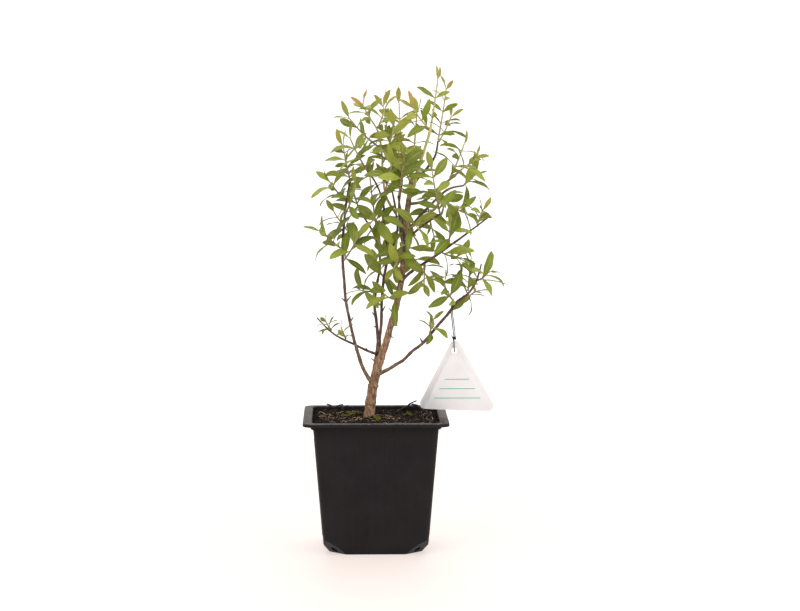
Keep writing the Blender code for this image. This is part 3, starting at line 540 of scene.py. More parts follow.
class FreeSpace:
    """Keeps the shapes placed so far and tells whether a new one would touch them."""

    def __init__(self):
        self.items = []

    def add(self, owner, points, faces):
        self.items.append((owner, *measure(points, faces)))

    def touches(self, points, faces, skip=None, only=None):
        middle, reach, tree = measure(points, faces)
        for owner, centre, size, other in self.items:
            if owner == skip or (only is not None and owner != only):
                continue
            if (centre - middle).length < size + reach and tree.overlap(other):
                return True
        return False


# %% Room that the wood, the tie and the tag take up
def tag_outline():
    """The rounded triangle of the tag, in mm, clockwise as seen from the front."""
    corners = [from_photo(*c, TAG_DEPTH) for c in (TAG_APEX, TAG_RIGHT, TAG_LEFT)]
    outline = []
    for i, corner in enumerate(corners):
        a = (corners[i - 1] - corner).normalized()
        b = (corners[(i + 1) % 3] - corner).normalized()
        half = a.angle(b) / 2
        middle = corner + (a + b).normalized() * TAG_CORNER_R / math.sin(half)
        start = (a + b).normalized()
        sweep = math.pi / 2 - half
        for k in range(5):
            turn = Matrix.Rotation(-sweep + 2 * sweep * k / 4, 3, "Y")
            outline.append(middle - (turn @ start) * TAG_CORNER_R)
    return outline


def tag_rings():
    """The tag's outline on its front and on its back."""
    outline = tag_outline()
    return [[p + Vector((0, side * TAG_THICK / 2, 0)) for p in outline] for side in (-1, 1)]


def taken_space(lines, route):
    """The room that the wood, the tie and the tag take up."""
    space = FreeSpace()
    for line, sides in lines.values():
        for pair in zip(line, line[1:]):
            space.add("wood", *tube(pair, sides))
    for line in spur_lines(lines):
        space.add("wood", *tube(line, 4))
    space.add("tie", *tube([(p, TIE_R) for p in route], 6))
    space.add("tag", *loft(tag_rings()))
    return space


# %% Leaves and twigs that stand clear
LEAF_GAP, OWN_GAP = 0.35, 0.2
DEPTH_SHIFTS = (0, 5, -5, 10, -10, 16, -16)
FOOT_SLIDES = (0, 5, -5, 10)


def leaf_is_free(space, name, leaf):
    """Whether a leaf clears everything else, and past its foot its own shoot as well."""
    whole = leaf_mesh(leaf, thick=LEAF_KEEL + LEAF_GAP, grow=LEAF_GAP)
    if space.touches(*whole, skip=name):
        return False
    outer = leaf_mesh(leaf, thick=LEAF_KEEL + OWN_GAP, grow=OWN_GAP, first=1)
    return not space.touches(*outer, only=name)


def place_leaves(space, spec, line, rng):
    """Opposite pairs of leaves up the twig, each turned until it hangs free of its neighbours."""
    name, pairs, length = spec[0], spec[5], spec[6]
    leaves = []
    turn = rng.uniform(0, math.pi)
    for k in range(pairs):
        t = 0.10 + 0.90 * k / max(1, pairs - 1)
        base, along = on_line(line, min(t, 0.985))
        at_tip = k == pairs - 1
        for half in (0, 1):
            size = LEAF_GROWTH * length * rng.uniform(0.84, 1.14) * (0.66 if at_tip else 1.0)
            width = LEAF_WIDTH * (size / LEAF_LENGTH) ** 0.8 * rng.uniform(0.85, 1.2)
            for attempt in range(LEAF_TRIES):
                leaf = make_leaf(
                    base, along, turn + math.pi * half + rng.uniform(-0.35, 0.35) * (1 + attempt * 0.25),
                    rng.uniform(0.3, 0.6) if at_tip else rng.uniform(0.8, 1.25),
                    rng.uniform(-0.6, 0.6), rng.uniform(0.2, 0.5) if at_tip else rng.uniform(0.35, 1.25),
                    rng.uniform(-0.5, 0.5), size * (1 - 0.02 * attempt), width)
                if leaf_is_free(space, name, leaf):
                    leaves.append(leaf)
                    space.add(name, *leaf_mesh(leaf))
                    break
        turn += math.pi / 2 + rng.uniform(-0.2, 0.2)
    return leaves


def clear_twig(space, lines, spec):
    """Moves a twig's foot, and then its tip in depth, until it stands clear of all else."""
    for shift in DEPTH_SHIFTS:
        for slide in FOOT_SLIDES:
            name, branch, (px, py), tip, depth, *rest = spec
            moved = (name, branch, (px, py + slide), tip, depth + shift, *rest)
            for step in range(TWIG_TRIES):
                line = spray_line(lines, moved, TWIG_PUSH * step)
                way = (line[1][0] - line[0][0]).normalized()
                test = [(line[0][0] - way * CLEARANCE, line[0][1] + CLEARANCE)]
                test += [(p, r + CLEARANCE) for p, r in line[1:]]
                if not space.touches(*tube(test, TWIG_SIDES)):
                    return line
    print("no free place for", spec[0])
    return line


# %% Place every shoot and leaf as the solids have them
def place_all():
    """Twigs and their leaves by the name of the shoot."""
    space = taken_space(lines, route)
    twigs = {}
    for spec in SPRAYS:
        twigs[spec[0]] = clear_twig(space, lines, spec)
        space.add(spec[0], *tube(twigs[spec[0]], TWIG_SIDES))
    grown = {}
    for index, spec in enumerate(SPRAYS):
        rng = random.Random(SEED + 101 * index)
        grown[spec[0]] = place_leaves(space, spec, twigs[spec[0]], rng)
    return twigs, grown


twigs, grown = place_all()
print("shoots", len(twigs), "leaves", sum(len(v) for v in grown.values()))

# %% [markdown]
# Nearly every piece goes through one small maker. It turns millimetres into metres, gives the faces
# their materials and stores numbers on the points, such as how far along a leaf a point is. Shaders
# read those numbers by name, so a vein or a bronze tip follows the leaf whichever way it hangs.

# %% Make a piece
def face_outwards(mesh):
    """Turns every face of closed shapes to the outside, which joins and cuts rely on."""
    body = bmesh.new()
    body.from_mesh(mesh)
    bmesh.ops.recalc_face_normals(body, faces=body.faces[:])
    body.to_mesh(mesh)
    body.free()


def store(mesh, marks):
    """Keeps a list of numbers, one for each point, under each name."""
    for key, values in marks.items():
        mesh.attributes.new(key, "FLOAT", "POINT").data.foreach_set("value", values)


def shade(obj, sharp=None):
    """Smooth shading that stays crisp at edges sharper than an angle."""
    obj.data.polygons.foreach_set("use_smooth", [True] * len(obj.data.polygons))
    if sharp is not None:
        obj.data.set_sharp_from_angle(angle=sharp)


def make_piece(name, points, faces, materials, marks=None, slots=None, smooth=True, closed=True):
    """A piece from points in millimetres, with materials, numbers on its points and slots on its faces."""
    mesh = bpy.data.meshes.new(name)
    mesh.from_pydata([tuple(Vector(p) * MM) for p in points], [], faces)
    for material in materials:
        mesh.materials.append(material)
    if slots is not None:
        mesh.polygons.foreach_set("material_index", slots)
    if closed:
        face_outwards(mesh)
    mesh.polygons.foreach_set("use_smooth", [smooth] * len(mesh.polygons))
    store(mesh, marks or {})
    obj = bpy.data.objects.new(name, mesh)
    bpy.context.scene.collection.objects.link(obj)
    return obj


def rod(centre, radius, ends, sides, upright=True):
    """A round rod to cut a hole with, upright or lying from front to back."""
    turns = [2 * math.pi * k / sides for k in range(sides)]
    ring = [(radius * math.cos(a), radius * math.sin(a)) for a in turns]
    rings = [[centre + Vector((x, y, end) if upright else (x, end, y)) for x, y in ring] for end in ends]
    return make_piece("rod", *loft(rings), [])


def dress(obj, slot, *nodes):
    """The piece stands for its solids, which it hides, and is joined to the root body; the slot is not used.
    """
    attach(obj, "root")
    if nodes:
        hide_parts(*nodes)
    return obj


# %% Apply modifiers
def settle(obj):
    """Turns a piece with modifiers into the plain mesh that they give."""
    bpy.context.view_layer.update()
    result = bpy.data.meshes.new_from_object(obj.evaluated_get(bpy.context.evaluated_depsgraph_get()))
    obj.modifiers.clear()
    obj.data = result


def join_in(obj, operand, operation, solver="MANIFOLD"):
    """Joins or cuts a piece with another, or with a whole collection, which is then removed."""
    modifier = obj.modifiers.new("boolean", "BOOLEAN")
    modifier.operation = operation
    modifier.solver = solver
    group = isinstance(operand, bpy.types.Collection)
    if group:
        modifier.operand_type = "COLLECTION"
        modifier.collection = operand
    else:
        modifier.object = operand
    settle(obj)
    for used in (list(operand.objects) if group else [operand]):
        bpy.data.objects.remove(used, do_unlink=True)
    if group:
        bpy.data.collections.remove(operand)
    return obj


def new_collection(name):
    made = bpy.data.collections.new(name)
    bpy.context.scene.collection.children.link(made)
    return made


def into(collection, obj):
    bpy.context.scene.collection.objects.unlink(obj)
    collection.objects.link(obj)


# %% [markdown]
# Materials are node trees. A few short helpers keep them readable: one wires inputs by name, one adds a
# node, and the others make the noise, the ramps and the small sums that every finish here uses.

# %% Node helpers
def new_material(name):
    print("finish", name)
    material = bpy.data.materials.new(name)
    material.use_nodes = True
    tree = material.node_tree
    return material, tree, tree.nodes["Principled BSDF"]


def is_socket(value):
    return isinstance(value, bpy.types.NodeSocket)


def wire(tree, made, **inputs):
    """Links or sets a node's inputs by name, with _ for a space, or by number, such as i0."""
    for key, value in inputs.items():
        numbered = key[0] == "i" and key[1:].isdigit()
        socket = made.inputs[int(key[1:]) if numbered else key.replace("_", " ")]
        if is_socket(value):
            tree.links.new(value, socket)
        else:
            socket.default_value = value


def node(tree, kind, settings=None, **inputs):
    """Adds a node with its settings and wires its inputs."""
    made = tree.nodes.new(kind)
    for key, value in (settings or {}).items():
        setattr(made, key, value)
    wire(tree, made, **inputs)
    return made


def noise_value(tree, where, scale, detail=3.0, rough=0.55):
    return node(tree, "ShaderNodeTexNoise", None, Vector=where, Scale=scale, Detail=detail,
                Roughness=rough).outputs["Fac"]


def ramp(tree, value, stops):
    """A colour ramp with a colour at each stop."""
    made = node(tree, "ShaderNodeValToRGB", None, Fac=value)
    elements = made.color_ramp.elements
    while len(elements) < len(stops):
        elements.new(0.5)
    for element, (place, colour) in zip(elements, stops):
        element.position = place
        element.color = (*colour, 1.0)
    return made.outputs["Color"]


def blend(tree, share, first, second):
    """The first colour with a share of the second."""
    first, second = (c if is_socket(c) else (*c, 1.0) for c in (first, second))
    return node(tree, "ShaderNodeMix", {"data_type": "RGBA"}, i0=share, i6=first, i7=second).outputs[2]


def sums(tree, how, first, second=0.0):
    return node(tree, "ShaderNodeMath", {"operation": how}, i0=first, i1=second).outputs[0]


def times(tree, first, second):
    return sums(tree, "MULTIPLY", first, second)


def fit(tree, value, low, high, to_low=0.0, to_high=1.0):
    """Stretches a value from one range to another and holds it there."""
    return node(tree, "ShaderNodeMapRange", None, i0=value, i1=low, i2=high, i3=to_low,
                i4=to_high).outputs[0]


def mark(tree, key):
    return node(tree, "ShaderNodeAttribute", {"attribute_name": key}).outputs["Fac"]


def place_of(tree):
    return node(tree, "ShaderNodeNewGeometry").outputs["Position"]


def drawn_out(tree, where, share):
    """The place with its height scaled down, which draws patches out upwards."""
    return node(tree, "ShaderNodeVectorMath", {"operation": "MULTIPLY"}, i0=where,
                i1=(1.0, 1.0, share)).outputs[0]


def bump(tree, height, strength, distance):
    return node(tree, "ShaderNodeBump", None, Height=height, Strength=strength, Distance=distance).outputs[0]


# %% [markdown]
# Effects that stand on their own are node groups with named sockets. Two come here: dust that settles
# on faces that look upwards, and a fine grain of light and dark that nearly every finish shares. The
# veins of a leaf and the ruled bars of the tag follow with their finishes.

# %% Shared node groups
FLOAT, COLOUR, VECTOR = "NodeSocketFloat", "NodeSocketColor", "NodeSocketVector"


def new_group(name, ins, outs):
    """An empty node group with its named sockets, and its inner ends."""
    print("node group", name)
    group = bpy.data.node_groups.new(name, "ShaderNodeTree")
    for key, kind, value in ins:
        socket = group.interface.new_socket(name=key, in_out="INPUT", socket_type=kind)
        if value is not None:
            socket.default_value = value
    for key, kind in outs:
        group.interface.new_socket(name=key, in_out="OUTPUT", socket_type=kind)
    return group, group.nodes.new("NodeGroupInput"), group.nodes.new("NodeGroupOutput")


def make_dust_group():
    """A mask of settled dust: strongest on level faces, broken up by noise."""
    group, given, out = new_group(
        "settled dust", [("Scale", FLOAT, 200.0), ("Amount", FLOAT, 0.5)], [("Mask", FLOAT)])
    shape = group.nodes.new("ShaderNodeNewGeometry")
    up = node(group, "ShaderNodeSeparateXYZ", None, Vector=shape.outputs["Normal"]).outputs["Z"]
    rough = noise_value(group, shape.outputs["Position"], given.outputs["Scale"], 6.0, 0.7)
    both = times(group, fit(group, up, 0.2, 0.95), fit(group, rough, 0.45, 0.60))
    wire(group, out, Mask=times(group, both, given.outputs["Amount"]))
    return group


def make_grain_group():
    """Light and dark grain at one scale, with a height for a Bump node."""
    group, given, out = new_group(
        "fine grain", [("Colour", COLOUR, (0.5, 0.5, 0.5, 1.0)), ("Scale", FLOAT, 900.0),
                       ("Contrast", FLOAT, 0.2)], [("Colour", COLOUR), ("Height", FLOAT)])
    grain = noise_value(group, place_of(group), given.outputs["Scale"], 4.0, 0.65)
    dark = sums(group, "SUBTRACT", 1.0, given.outputs["Contrast"])
    light = sums(group, "ADD", 1.0, given.outputs["Contrast"])
    scaled = node(group, "ShaderNodeVectorMath", {"operation": "SCALE"}, i0=given.outputs["Colour"],
                  Scale=fit(group, grain, 0.3, 0.7, dark, light)).outputs[0]
    wire(group, out, Colour=scaled, Height=grain)
    return group


DUST = make_dust_group()
GRAIN = make_grain_group()


def use_group(tree, group, **inputs):
    return node(tree, "ShaderNodeGroup", {"node_tree": group}, **inputs)


def grainy(tree, colour, scale, contrast):
    """A colour with fine grain in it, and the grain's height."""
    made = use_group(tree, GRAIN, Colour=colour, Scale=scale, Contrast=contrast)
    return made.outputs["Colour"], made.outputs["Height"]


# %% [markdown]
# The pot is thin injection-moulded plastic: charcoal black, semi-matte, with faint scuffs and with dust
# lying on the rim. Real black plastic is never quite black, so the base is a dark warm grey, and the
# roughness changes from place to place, which is what makes the soft highlights look moulded.

# %% Pot plastic
def pot_plastic():
    material, tree, shader = new_material("pot_plastic_fine")
    where = place_of(tree)
    black, height = grainy(tree, (0.0104, 0.0090, 0.0101, 1.0), 700.0, 0.18)
    cloudy = noise_value(tree, where, 38.0, 4.0)
    tone = blend(tree, fit(tree, cloudy, 0.35, 0.7), black, (0.0140, 0.0122, 0.0134))
    dust = use_group(tree, DUST, Scale=330.0, Amount=0.85).outputs["Mask"]
    dusty = blend(tree, dust, tone, (0.16, 0.130, 0.116))
    scuffs = noise_value(tree, drawn_out(tree, where, 0.15), 420.0, 5.0, 0.7)
    rough = sums(tree, "ADD", fit(tree, scuffs, 0.3, 0.75, 0.40, 0.56), times(tree, dust, 0.3))
    wire(tree, shader, Base_Color=dusty, Roughness=rough, Specular_IOR_Level=0.09,
         Normal=bump(tree, height, 0.25, 0.0001))
    return material


POT_PLASTIC = pot_plastic()

# %% [markdown]
# The pot is lofted from rounded squares and hollowed with a second, slightly smaller loft. Its four low
# corners are sliced away along slanting planes, and each slice gets its drainage hole. Low ribs are
# joined to the walls, and edges that turn by more than a set angle are left crisp.

# %% Pot body
CORNER_STEPS = 12
DRAIN_SIDES = 28
POT_CREASE = 0.45


def rounded_square(half, radius, z):
    """A ring of points, counter-clockwise, with round corners."""
    ring = []
    for corner in range(4):
        turn = math.pi / 2 * corner
        away = (half - radius) * math.sqrt(2)
        cx = away * math.cos(turn + math.pi / 4)
        cy = away * math.sin(turn + math.pi / 4)
        for k in range(CORNER_STEPS + 1):
            a = turn + math.pi / 2 * k / CORNER_STEPS
            ring.append(Vector((cx + radius * math.cos(a), cy + radius * math.sin(a), z)))
    return ring


def wall_half(z):
    """Half the pot's outer width at a height on its slanting wall."""
    share = (z - CREASE_Z) / (COLLAR_LOW - CREASE_Z)
    return WALL_LOW_HALF + (WALL_TOP_HALF - WALL_LOW_HALF) * share


def cut_corners(obj, inset):
    """Slice the four low corners off along a slanting plane, and close the cuts."""
    body = bmesh.new()
    body.from_mesh(obj.data)
    for k in range(4):
        a = math.pi / 4 + math.pi / 2 * k
        out = Vector((math.cos(a), math.sin(a), 0))
        low = out * (FOOT_HALF * math.sqrt(2) - FACET_ALONG / math.sqrt(2) - inset)
        high = out * (WALL_LOW_HALF * math.sqrt(2) - CORNER_R * (math.sqrt(2) - 1) - inset)
        high.z = FACET_HIGH
        along = Vector((-out.y, out.x, 0))
        normal = (high - low).cross(along)
        if normal.dot(out) < 0:
            normal = -normal
        cut = bmesh.ops.bisect_plane(body, geom=body.verts[:] + body.edges[:] + body.faces[:],
                                     plane_co=low * MM, plane_no=normal, clear_outer=True)
        edges = [e for e in cut["geom_cut"] if isinstance(e, bmesh.types.BMEdge)]
        bmesh.ops.contextual_create(body, geom=edges)
    bmesh.ops.recalc_face_normals(body, faces=body.faces[:])
    body.to_mesh(obj.data)
    body.free()


def drain_cutter(angle):
    """An upright rod through a drainage hole in one of the corner slices."""
    out = Vector((math.cos(angle), math.sin(angle), 0))
    centre = out * (FOOT_HALF * math.sqrt(2) - FACET_ALONG / math.sqrt(2) + DRAIN_OUT)
    return rod(centre, DRAIN_R, (-2.0, 14.0), DRAIN_SIDES)


def pot_body():
    """The moulded pot: an outer and an inner loft given as (half width, corner radius, height)."""
    low = RIM_TOP - LIP_DROP
    under = RIM_TOP - RIM_THICK
    outer = [(FOOT_HALF, CORNER_R - 1, 0), (WALL_LOW_HALF - 0.25, CORNER_R, CREASE_Z - 0.4),
             (WALL_LOW_HALF + 0.03, CORNER_R, CREASE_Z + 0.6), (WALL_TOP_HALF, CORNER_R, COLLAR_LOW),
             (COLLAR_HALF - 0.3, CORNER_R, COLLAR_LOW + 0.3), (COLLAR_HALF, CORNER_R, COLLAR_LOW + 0.8),
             (COLLAR_HALF, CORNER_R, under), (RIM_HALF - 1.1, CORNER_R + 2, under),
             (RIM_HALF - 1.1, CORNER_R + 2, low), (RIM_HALF - 0.2, CORNER_R + 2.5, low),
             (RIM_HALF, CORNER_R + 2.5, low + 0.3), (RIM_HALF, CORNER_R + 2.5, RIM_TOP - 0.7),
             (RIM_HALF - 0.2, CORNER_R + 2.3, RIM_TOP - 0.2), (RIM_HALF - 0.7, CORNER_R + 2, RIM_TOP)]
    top = RIM_HALF - RIM_WIDTH
    inner = [(FOOT_HALF - WALL, CORNER_R - 2, FLOOR), (WALL_LOW_HALF - WALL, CORNER_R - 1, CREASE_Z + 0.6),
             (wall_half(COLLAR_LOW) - WALL, CORNER_R - 1, COLLAR_LOW + 0.4),
             (top - 0.9, CORNER_R - 1, COLLAR_LOW + 1.9), (top - 0.6, CORNER_R - 1, RIM_TOP - 0.9),
             (top - 0.1, CORNER_R - 1, RIM_TOP - 0.1), (top + 0.4, CORNER_R - 1, RIM_TOP + 1)]
    pot = make_piece("pot_moulded", *loft([rounded_square(*r) for r in outer]), [POT_PLASTIC])
    cut_corners(pot, 0)
    hollow = make_piece("hollow", *loft([rounded_square(*r) for r in inner]), [])
    cut_corners(hollow, WALL * 1.5)
    join_in(pot, hollow, "DIFFERENCE", "EXACT")
    for k in range(4):
        join_in(pot, drain_cutter(math.pi / 4 + math.pi / 2 * k), "DIFFERENCE", "EXACT")
    return pot


# %% [markdown]
# The walls of a thin pot carry low upright ribs that stiffen the plastic. They could be drawn as bump,
# but a rib that really stands out catches the light along its whole length from every side. So each
# is a slim loft, sunk halfway into the wall and joined to it.

# %% Faint ribs on the four walls
RIBS_A_SIDE = 9
RIB_STEP = 8.8
RIB_RINGS = ((14, -0.4, 1.6), (17, 0.42, 1.8), (103, 0.46, 2.0), (108, -0.4, 1.8))


def rib(side, shift):
    """A slim upright rib, half sunk into the wall, with rings of (height, proud of the wall, half width)."""
    turn = Matrix.Rotation(math.pi / 2 * side, 3, "Z")
    rings = []
    for z, proud, half in RIB_RINGS:
        out = -wall_half(z)
        section = ((-1.0, -0.5), (-0.6, proud * 0.5), (-0.2, proud),
                   (0.2, proud), (0.6, proud * 0.5), (1.0, -0.5))
        rings.append([turn @ Vector((shift + x * half, out - y, z)) for x, y in section])
    return loft(rings)


def add_ribs(pot):
    ribs = new_collection("ribs")
    for side in range(4):
        for k in range(RIBS_A_SIDE):
            into(ribs, make_piece("rib", *rib(side, (k - RIBS_A_SIDE // 2) * RIB_STEP), []))
    join_in(pot, ribs, "UNION", "EXACT")


pot = pot_body()
add_ribs(pot)
shade(pot, POT_CREASE)
pot.data.materials.clear()
pot.data.materials.append(POT_PLASTIC)
dress(pot, "pot_plastic", "pot")
print("pot faces", len(pot.data.polygons))

# %% [markdown]
# Peat is dark brown crumbs, fibres and chips rather than a surface. The root ball is one closed body
# with a wavy top and a bumpy, speckled finish, and on it lie crumbs, bark chips, pale grains, curled
# roots and moss, each cut small and half buried so that none of them floats.

# %% Peat, chip, root and moss finishes
def speckled(name, dark, light, scale, rough, strength, distance=0.0006):
    """A matt finish whose colour runs between two tones in small patches."""
    material, tree, shader = new_material(name)
    where = place_of(tree)
    patches = noise_value(tree, where, scale, 6.0, 0.7)
    fleck = noise_value(tree, where, scale * 3.1, 4.0, 0.6)
    tone = ramp(tree, patches, [(0.32, dark), (0.70, light)])
    tone = blend(tree, fit(tree, fleck, 0.62, 0.72), tone, tuple(min(1.0, c * 1.7) for c in light))
    tone, grain = grainy(tree, tone, scale * 4.0, 0.25)
    height = sums(tree, "ADD", patches, times(tree, grain, 0.4))
    wire(tree, shader, Base_Color=tone, Specular_IOR_Level=0.12,
         Roughness=fit(tree, patches, 0.3, 0.7, rough - 0.12, rough),
         Normal=bump(tree, height, strength, distance))
    return material


PEAT = speckled("peat_crust", (0.0022, 0.0015, 0.0010), (0.017, 0.011, 0.0070), 420.0, 0.96, 0.8)
CHIP = speckled("bark_chip", (0.018, 0.010, 0.006), (0.105, 0.060, 0.036), 260.0, 0.88, 0.6)
DARK_CHIP = speckled("wet_bark_chip", (0.007, 0.005, 0.0035), (0.040, 0.025, 0.017), 240.0, 0.85, 0.6)
GRIT = speckled("pale_grain", (0.42, 0.38, 0.32), (0.72, 0.68, 0.60), 500.0, 0.8, 0.4)
ROOT = speckled("fine_root", (0.26, 0.15, 0.085), (0.52, 0.36, 0.23), 320.0, 0.8, 0.4, 0.0003)
MOSS = speckled("moss", (0.055, 0.060, 0.008), (0.28, 0.26, 0.045), 900.0, 0.9, 0.5)

# %% [markdown]
# The height of the soil is a function of the place, so anything laid on it later can ask how high the
# soil is just there. Slow waves are the lie of the soil and noise adds clods and crumbs. The body
# is lofted from rings that close in on the hole in which the trunk stands.

# %% Height of the crust
TRUNK_FOOT = from_photo(369, 424, 0)
SOIL_HALF = wall_half(COLLAR_LOW - 2.5) - WALL
CRUST_SIDES = 220
CRUST_RINGS = 58
RINGS_TO_CENTRE = 62


def soil_height(x, y):
    """Lumpy height of the soil."""
    waves = math.sin(x * 0.21 + 1.3) * math.cos(y * 0.17 + 0.4) + 0.7 * math.sin(x * 0.09 - y * 0.31)
    fine = 0.5 * math.sin(x * 0.53 + y * 0.41) * math.cos(y * 0.47 - x * 0.2)
    mound = 1.8 * math.exp(-(x * x + y * y) / 300.0)
    return SOIL_TOP + 0.9 * waves + 0.8 * fine + mound


def soil_ring(half, radius, z):
    """Points at even angles around the trunk, on a rounded square."""
    foot = Vector((TRUNK_FOOT.x, TRUNK_FOOT.y, 0))
    ring = []
    for k in range(CRUST_SIDES):
        a = 2 * math.pi * k / CRUST_SIDES
        way = Vector((math.cos(a), math.sin(a), 0))
        low, high = 0.0, 2.0 * half
        for _ in range(40):
            middle = (low + high) / 2
            p = foot + way * middle
            over_x = max(0.0, abs(p.x) - half + radius)
            over_y = max(0.0, abs(p.y) - half + radius)
            if math.hypot(over_x, over_y) > radius:
                high = middle
            else:
                low = middle
        p = foot + way * low
        ring.append(Vector((p.x, p.y, z)))
    return ring


def crust(x, y):
    """The lumpy height of the solid, with clods and crumbs added."""
    spot = Vector((x, y, 0.0))
    clods = noise.noise(spot * 0.22) * 1.3 + noise.noise(spot * 0.55 + Vector((7, 3, 1))) * 0.7
    return soil_height(x, y) + clods + noise.noise(spot * 1.5) * 0.35


def peat_crust():
    """The root ball, with a crust of rings that close in on the trunk's hole."""
    edge = soil_ring(SOIL_HALF - CLEARANCE, CORNER_R - 1, SOIL_TOP)
    low = soil_ring(WALL_LOW_HALF - 3 * (WALL + CLEARANCE), CORNER_R - 2, FACET_HIGH + 2)
    centre = Vector((TRUNK_FOOT.x, TRUNK_FOOT.y, 0))
    rings = [low, [Vector((p.x, p.y, COLLAR_LOW - 4)) for p in edge]]
    for k in range(CRUST_RINGS):
        share = 1.0 - k / RINGS_TO_CENTRE
        ring = []
        for p in edge:
            q = centre.lerp(Vector((p.x, p.y, 0)), share)
            drop = 1.5 * max(0.0, share - 0.93) / 0.07
            ring.append(Vector((q.x, q.y, crust(q.x, q.y) - drop)))
        rings.append(ring)
    rings.append([Vector((p.x, p.y, SOIL_HOLE_LOW)) for p in rings[-1]])
    return make_piece("peat_root_ball", *loft(rings), [PEAT])


soil = dress(peat_crust(), "peat_soil", "soil")
print("root ball faces", len(soil.data.polygons))

# %% [markdown]
# Crumbs, chips and grains lie loose on real peat. Particles could spread them, but plain seeded draws
# fall the same way in every run. All the bits of one kind go into one mesh, which keeps the scene
# light, and each is set low enough to rest in the crust.

# %% Loose bits on the crust
def lump(rng, size):
    """A small rough crumb."""
    body = bmesh.new()
    bmesh.ops.create_icosphere(body, subdivisions=1, radius=1.0)
    axis = Vector([rng.uniform(-1, 1) for _ in range(3)]).normalized()
    turn = Quaternion(axis, rng.uniform(0, 3))
    scale = Vector((size * rng.uniform(0.7, 1.3), size * rng.uniform(0.6, 1.1), size * 0.7))
    points = [turn @ Vector([c * s * rng.uniform(0.75, 1.15) for c, s in zip(v.co, scale)])
              for v in body.verts]
    faces = [[v.index for v in f.verts] for f in body.faces]
    body.free()
    return points, faces


def chip(rng, long, wide, thick):
    """A splinter of bark: a bent, tapering slab."""
    rings = []
    for k in range(4):
        t = k / 3
        half = wide * (0.35 + 0.65 * math.sin(math.pi * (0.2 + 0.6 * t))) * rng.uniform(0.8, 1.1)
        x = long * (t - 0.5)
        z = 0.15 * long * math.sin(math.pi * t)
        rings.append([Vector((x, -half, z - thick)), Vector((x, half, z - thick)),
                      Vector((x, half * 0.9, z + thick)), Vector((x, -half * 0.9, z + thick))])
    return loft(rings)


TRUNK_CLEAR = 7.5
ROOM_AT_WALL = 3.0


def inside_pot(rng, margin=ROOM_AT_WALL):
    """A place on the soil, away from the pot's wall and from the trunk."""
    half = SOIL_HALF - margin
    while True:
        x, y = rng.uniform(-half, half), rng.uniform(-half, half)
        if math.hypot(x - TRUNK_FOOT.x, y - TRUNK_FOOT.y) > TRUNK_CLEAR:
            return x, y


def in_pot(px, depth):
    """The place below a column of the photo at a depth; only its x and y count."""
    return from_photo(px, PHOTO_MIDDLE[1], depth)


class Heap:
    """Collects many small shapes into one mesh."""

    def __init__(self):
        self.points, self.faces = [], []

    def add(self, points, faces, move=Vector(), turn=None):
        start = len(self.points)
        self.points += [(turn @ p if turn else p) + move for p in points]
        self.faces += [[start + i for i in f] for f in faces]

    def make(self, name, material, slot, smooth=False):
        print(name, len(self.faces), "faces")
        obj = make_piece(name, self.points, self.faces, [material], smooth=smooth)
        return dress(obj, slot)


def random_turn(rng, tilt):
    spin = Quaternion(UP, rng.uniform(0, 2 * math.pi))
    roll = Quaternion((1, 0, 0), rng.uniform(-tilt, tilt))
    return spin @ roll @ Quaternion((0, 1, 0), rng.uniform(-tilt, tilt))


def scatter(name, material, count, shape, sink, tilt=math.pi, seed=1, spots=inside_pot):
    """Drops many small shapes on the crust, each turned at random and sunk a little."""
    rng = random.Random(seed)
    heap = Heap()
    for _ in range(count):
        x, y = spots(rng)
        points, faces = shape(rng)
        heap.add(points, faces, Vector((x, y, crust(x, y) - sink)), random_turn(rng, tilt))
    return heap.make(name, material, "peat_soil")


def edge_spot(rng):
    """A place in the narrow strip between the crust and the pot's rim."""
    half = RIM_HALF - RIM_WIDTH
    most = half - ROOM_AT_WALL
    along, inward = rng.uniform(-most, most), half - rng.uniform(1.8, 5.0)
    turn = rng.choice(((1, 0), (0, 1), (-1, 0), (0, -1)))
    return turn[0] * inward - turn[1] * along, turn[1] * inward + turn[0] * along


scatter("peat_crumbs", PEAT, 2300, lambda r: lump(r, r.uniform(0.35, 1.35) ** 1.2), 0.1, seed=3)
scatter("peat_clods", PEAT, 330, lambda r: lump(r, r.uniform(1.1, 2.9)), 0.5, seed=4)
scatter("peat_at_rim", PEAT, 620, lambda r: lump(r, r.uniform(0.9, 2.2)), 1.1, seed=15, spots=edge_spot)
scatter("bark_chips", CHIP, 110, lambda r: chip(r, r.uniform(1.8, 5.5), r.uniform(0.4, 1.2), 0.3), -0.1,
        tilt=0.6, seed=5)
scatter("pale_grains", GRIT, 40, lambda r: lump(r, r.uniform(0.25, 0.6)), -0.2, seed=6)

# %% [markdown]
# A few dark chips stand up at the back of the pot and near the trunk, and they catch the eye. They are
# listed one by one, because a scatter would never put them in the right places.

# %% Bark chips that stand up, as in the photograph
STANDING = ((410, 46, 17, 3.8, 0.80), (418, 47, 14, 3.2, -0.55), (404, 44, 11, 2.6, 0.5),
            (337, 50, 13, 2.2, 0.60), (331, 51, 11, 1.4, -0.7), (344, 50, 10, 1.6, 0.7),
            (427, 6, 8, 2.2, 0.5), (352, -8, 6, 1.6, 0.5), (330, 20, 6, 1.2, 1.1))


def standing_chips():
    """Chips given by column, depth, length, width and lean."""
    heap = Heap()
    rng = random.Random(8)
    for px, depth, long, wide, lean in STANDING:
        spot = in_pot(px, depth)
        turn = Quaternion(UP, rng.uniform(-0.5, 0.5)) @ Quaternion((0, 1, 0), -lean)
        points, faces = chip(rng, long, wide, 0.6)
        rise = long * 0.30 * abs(math.sin(lean))
        heap.add(points, faces, Vector((spot.x, spot.y, crust(spot.x, spot.y) + rise)), turn)
    return heap.make("standing_chips", DARK_CHIP, "peat_soil")


standing_chips()

# %% [markdown]
# Fine roots are thin tubes that wander: their heading drifts from step to step, and the height follows
# the crust, so a root dips in and out of the peat as the real ones do.

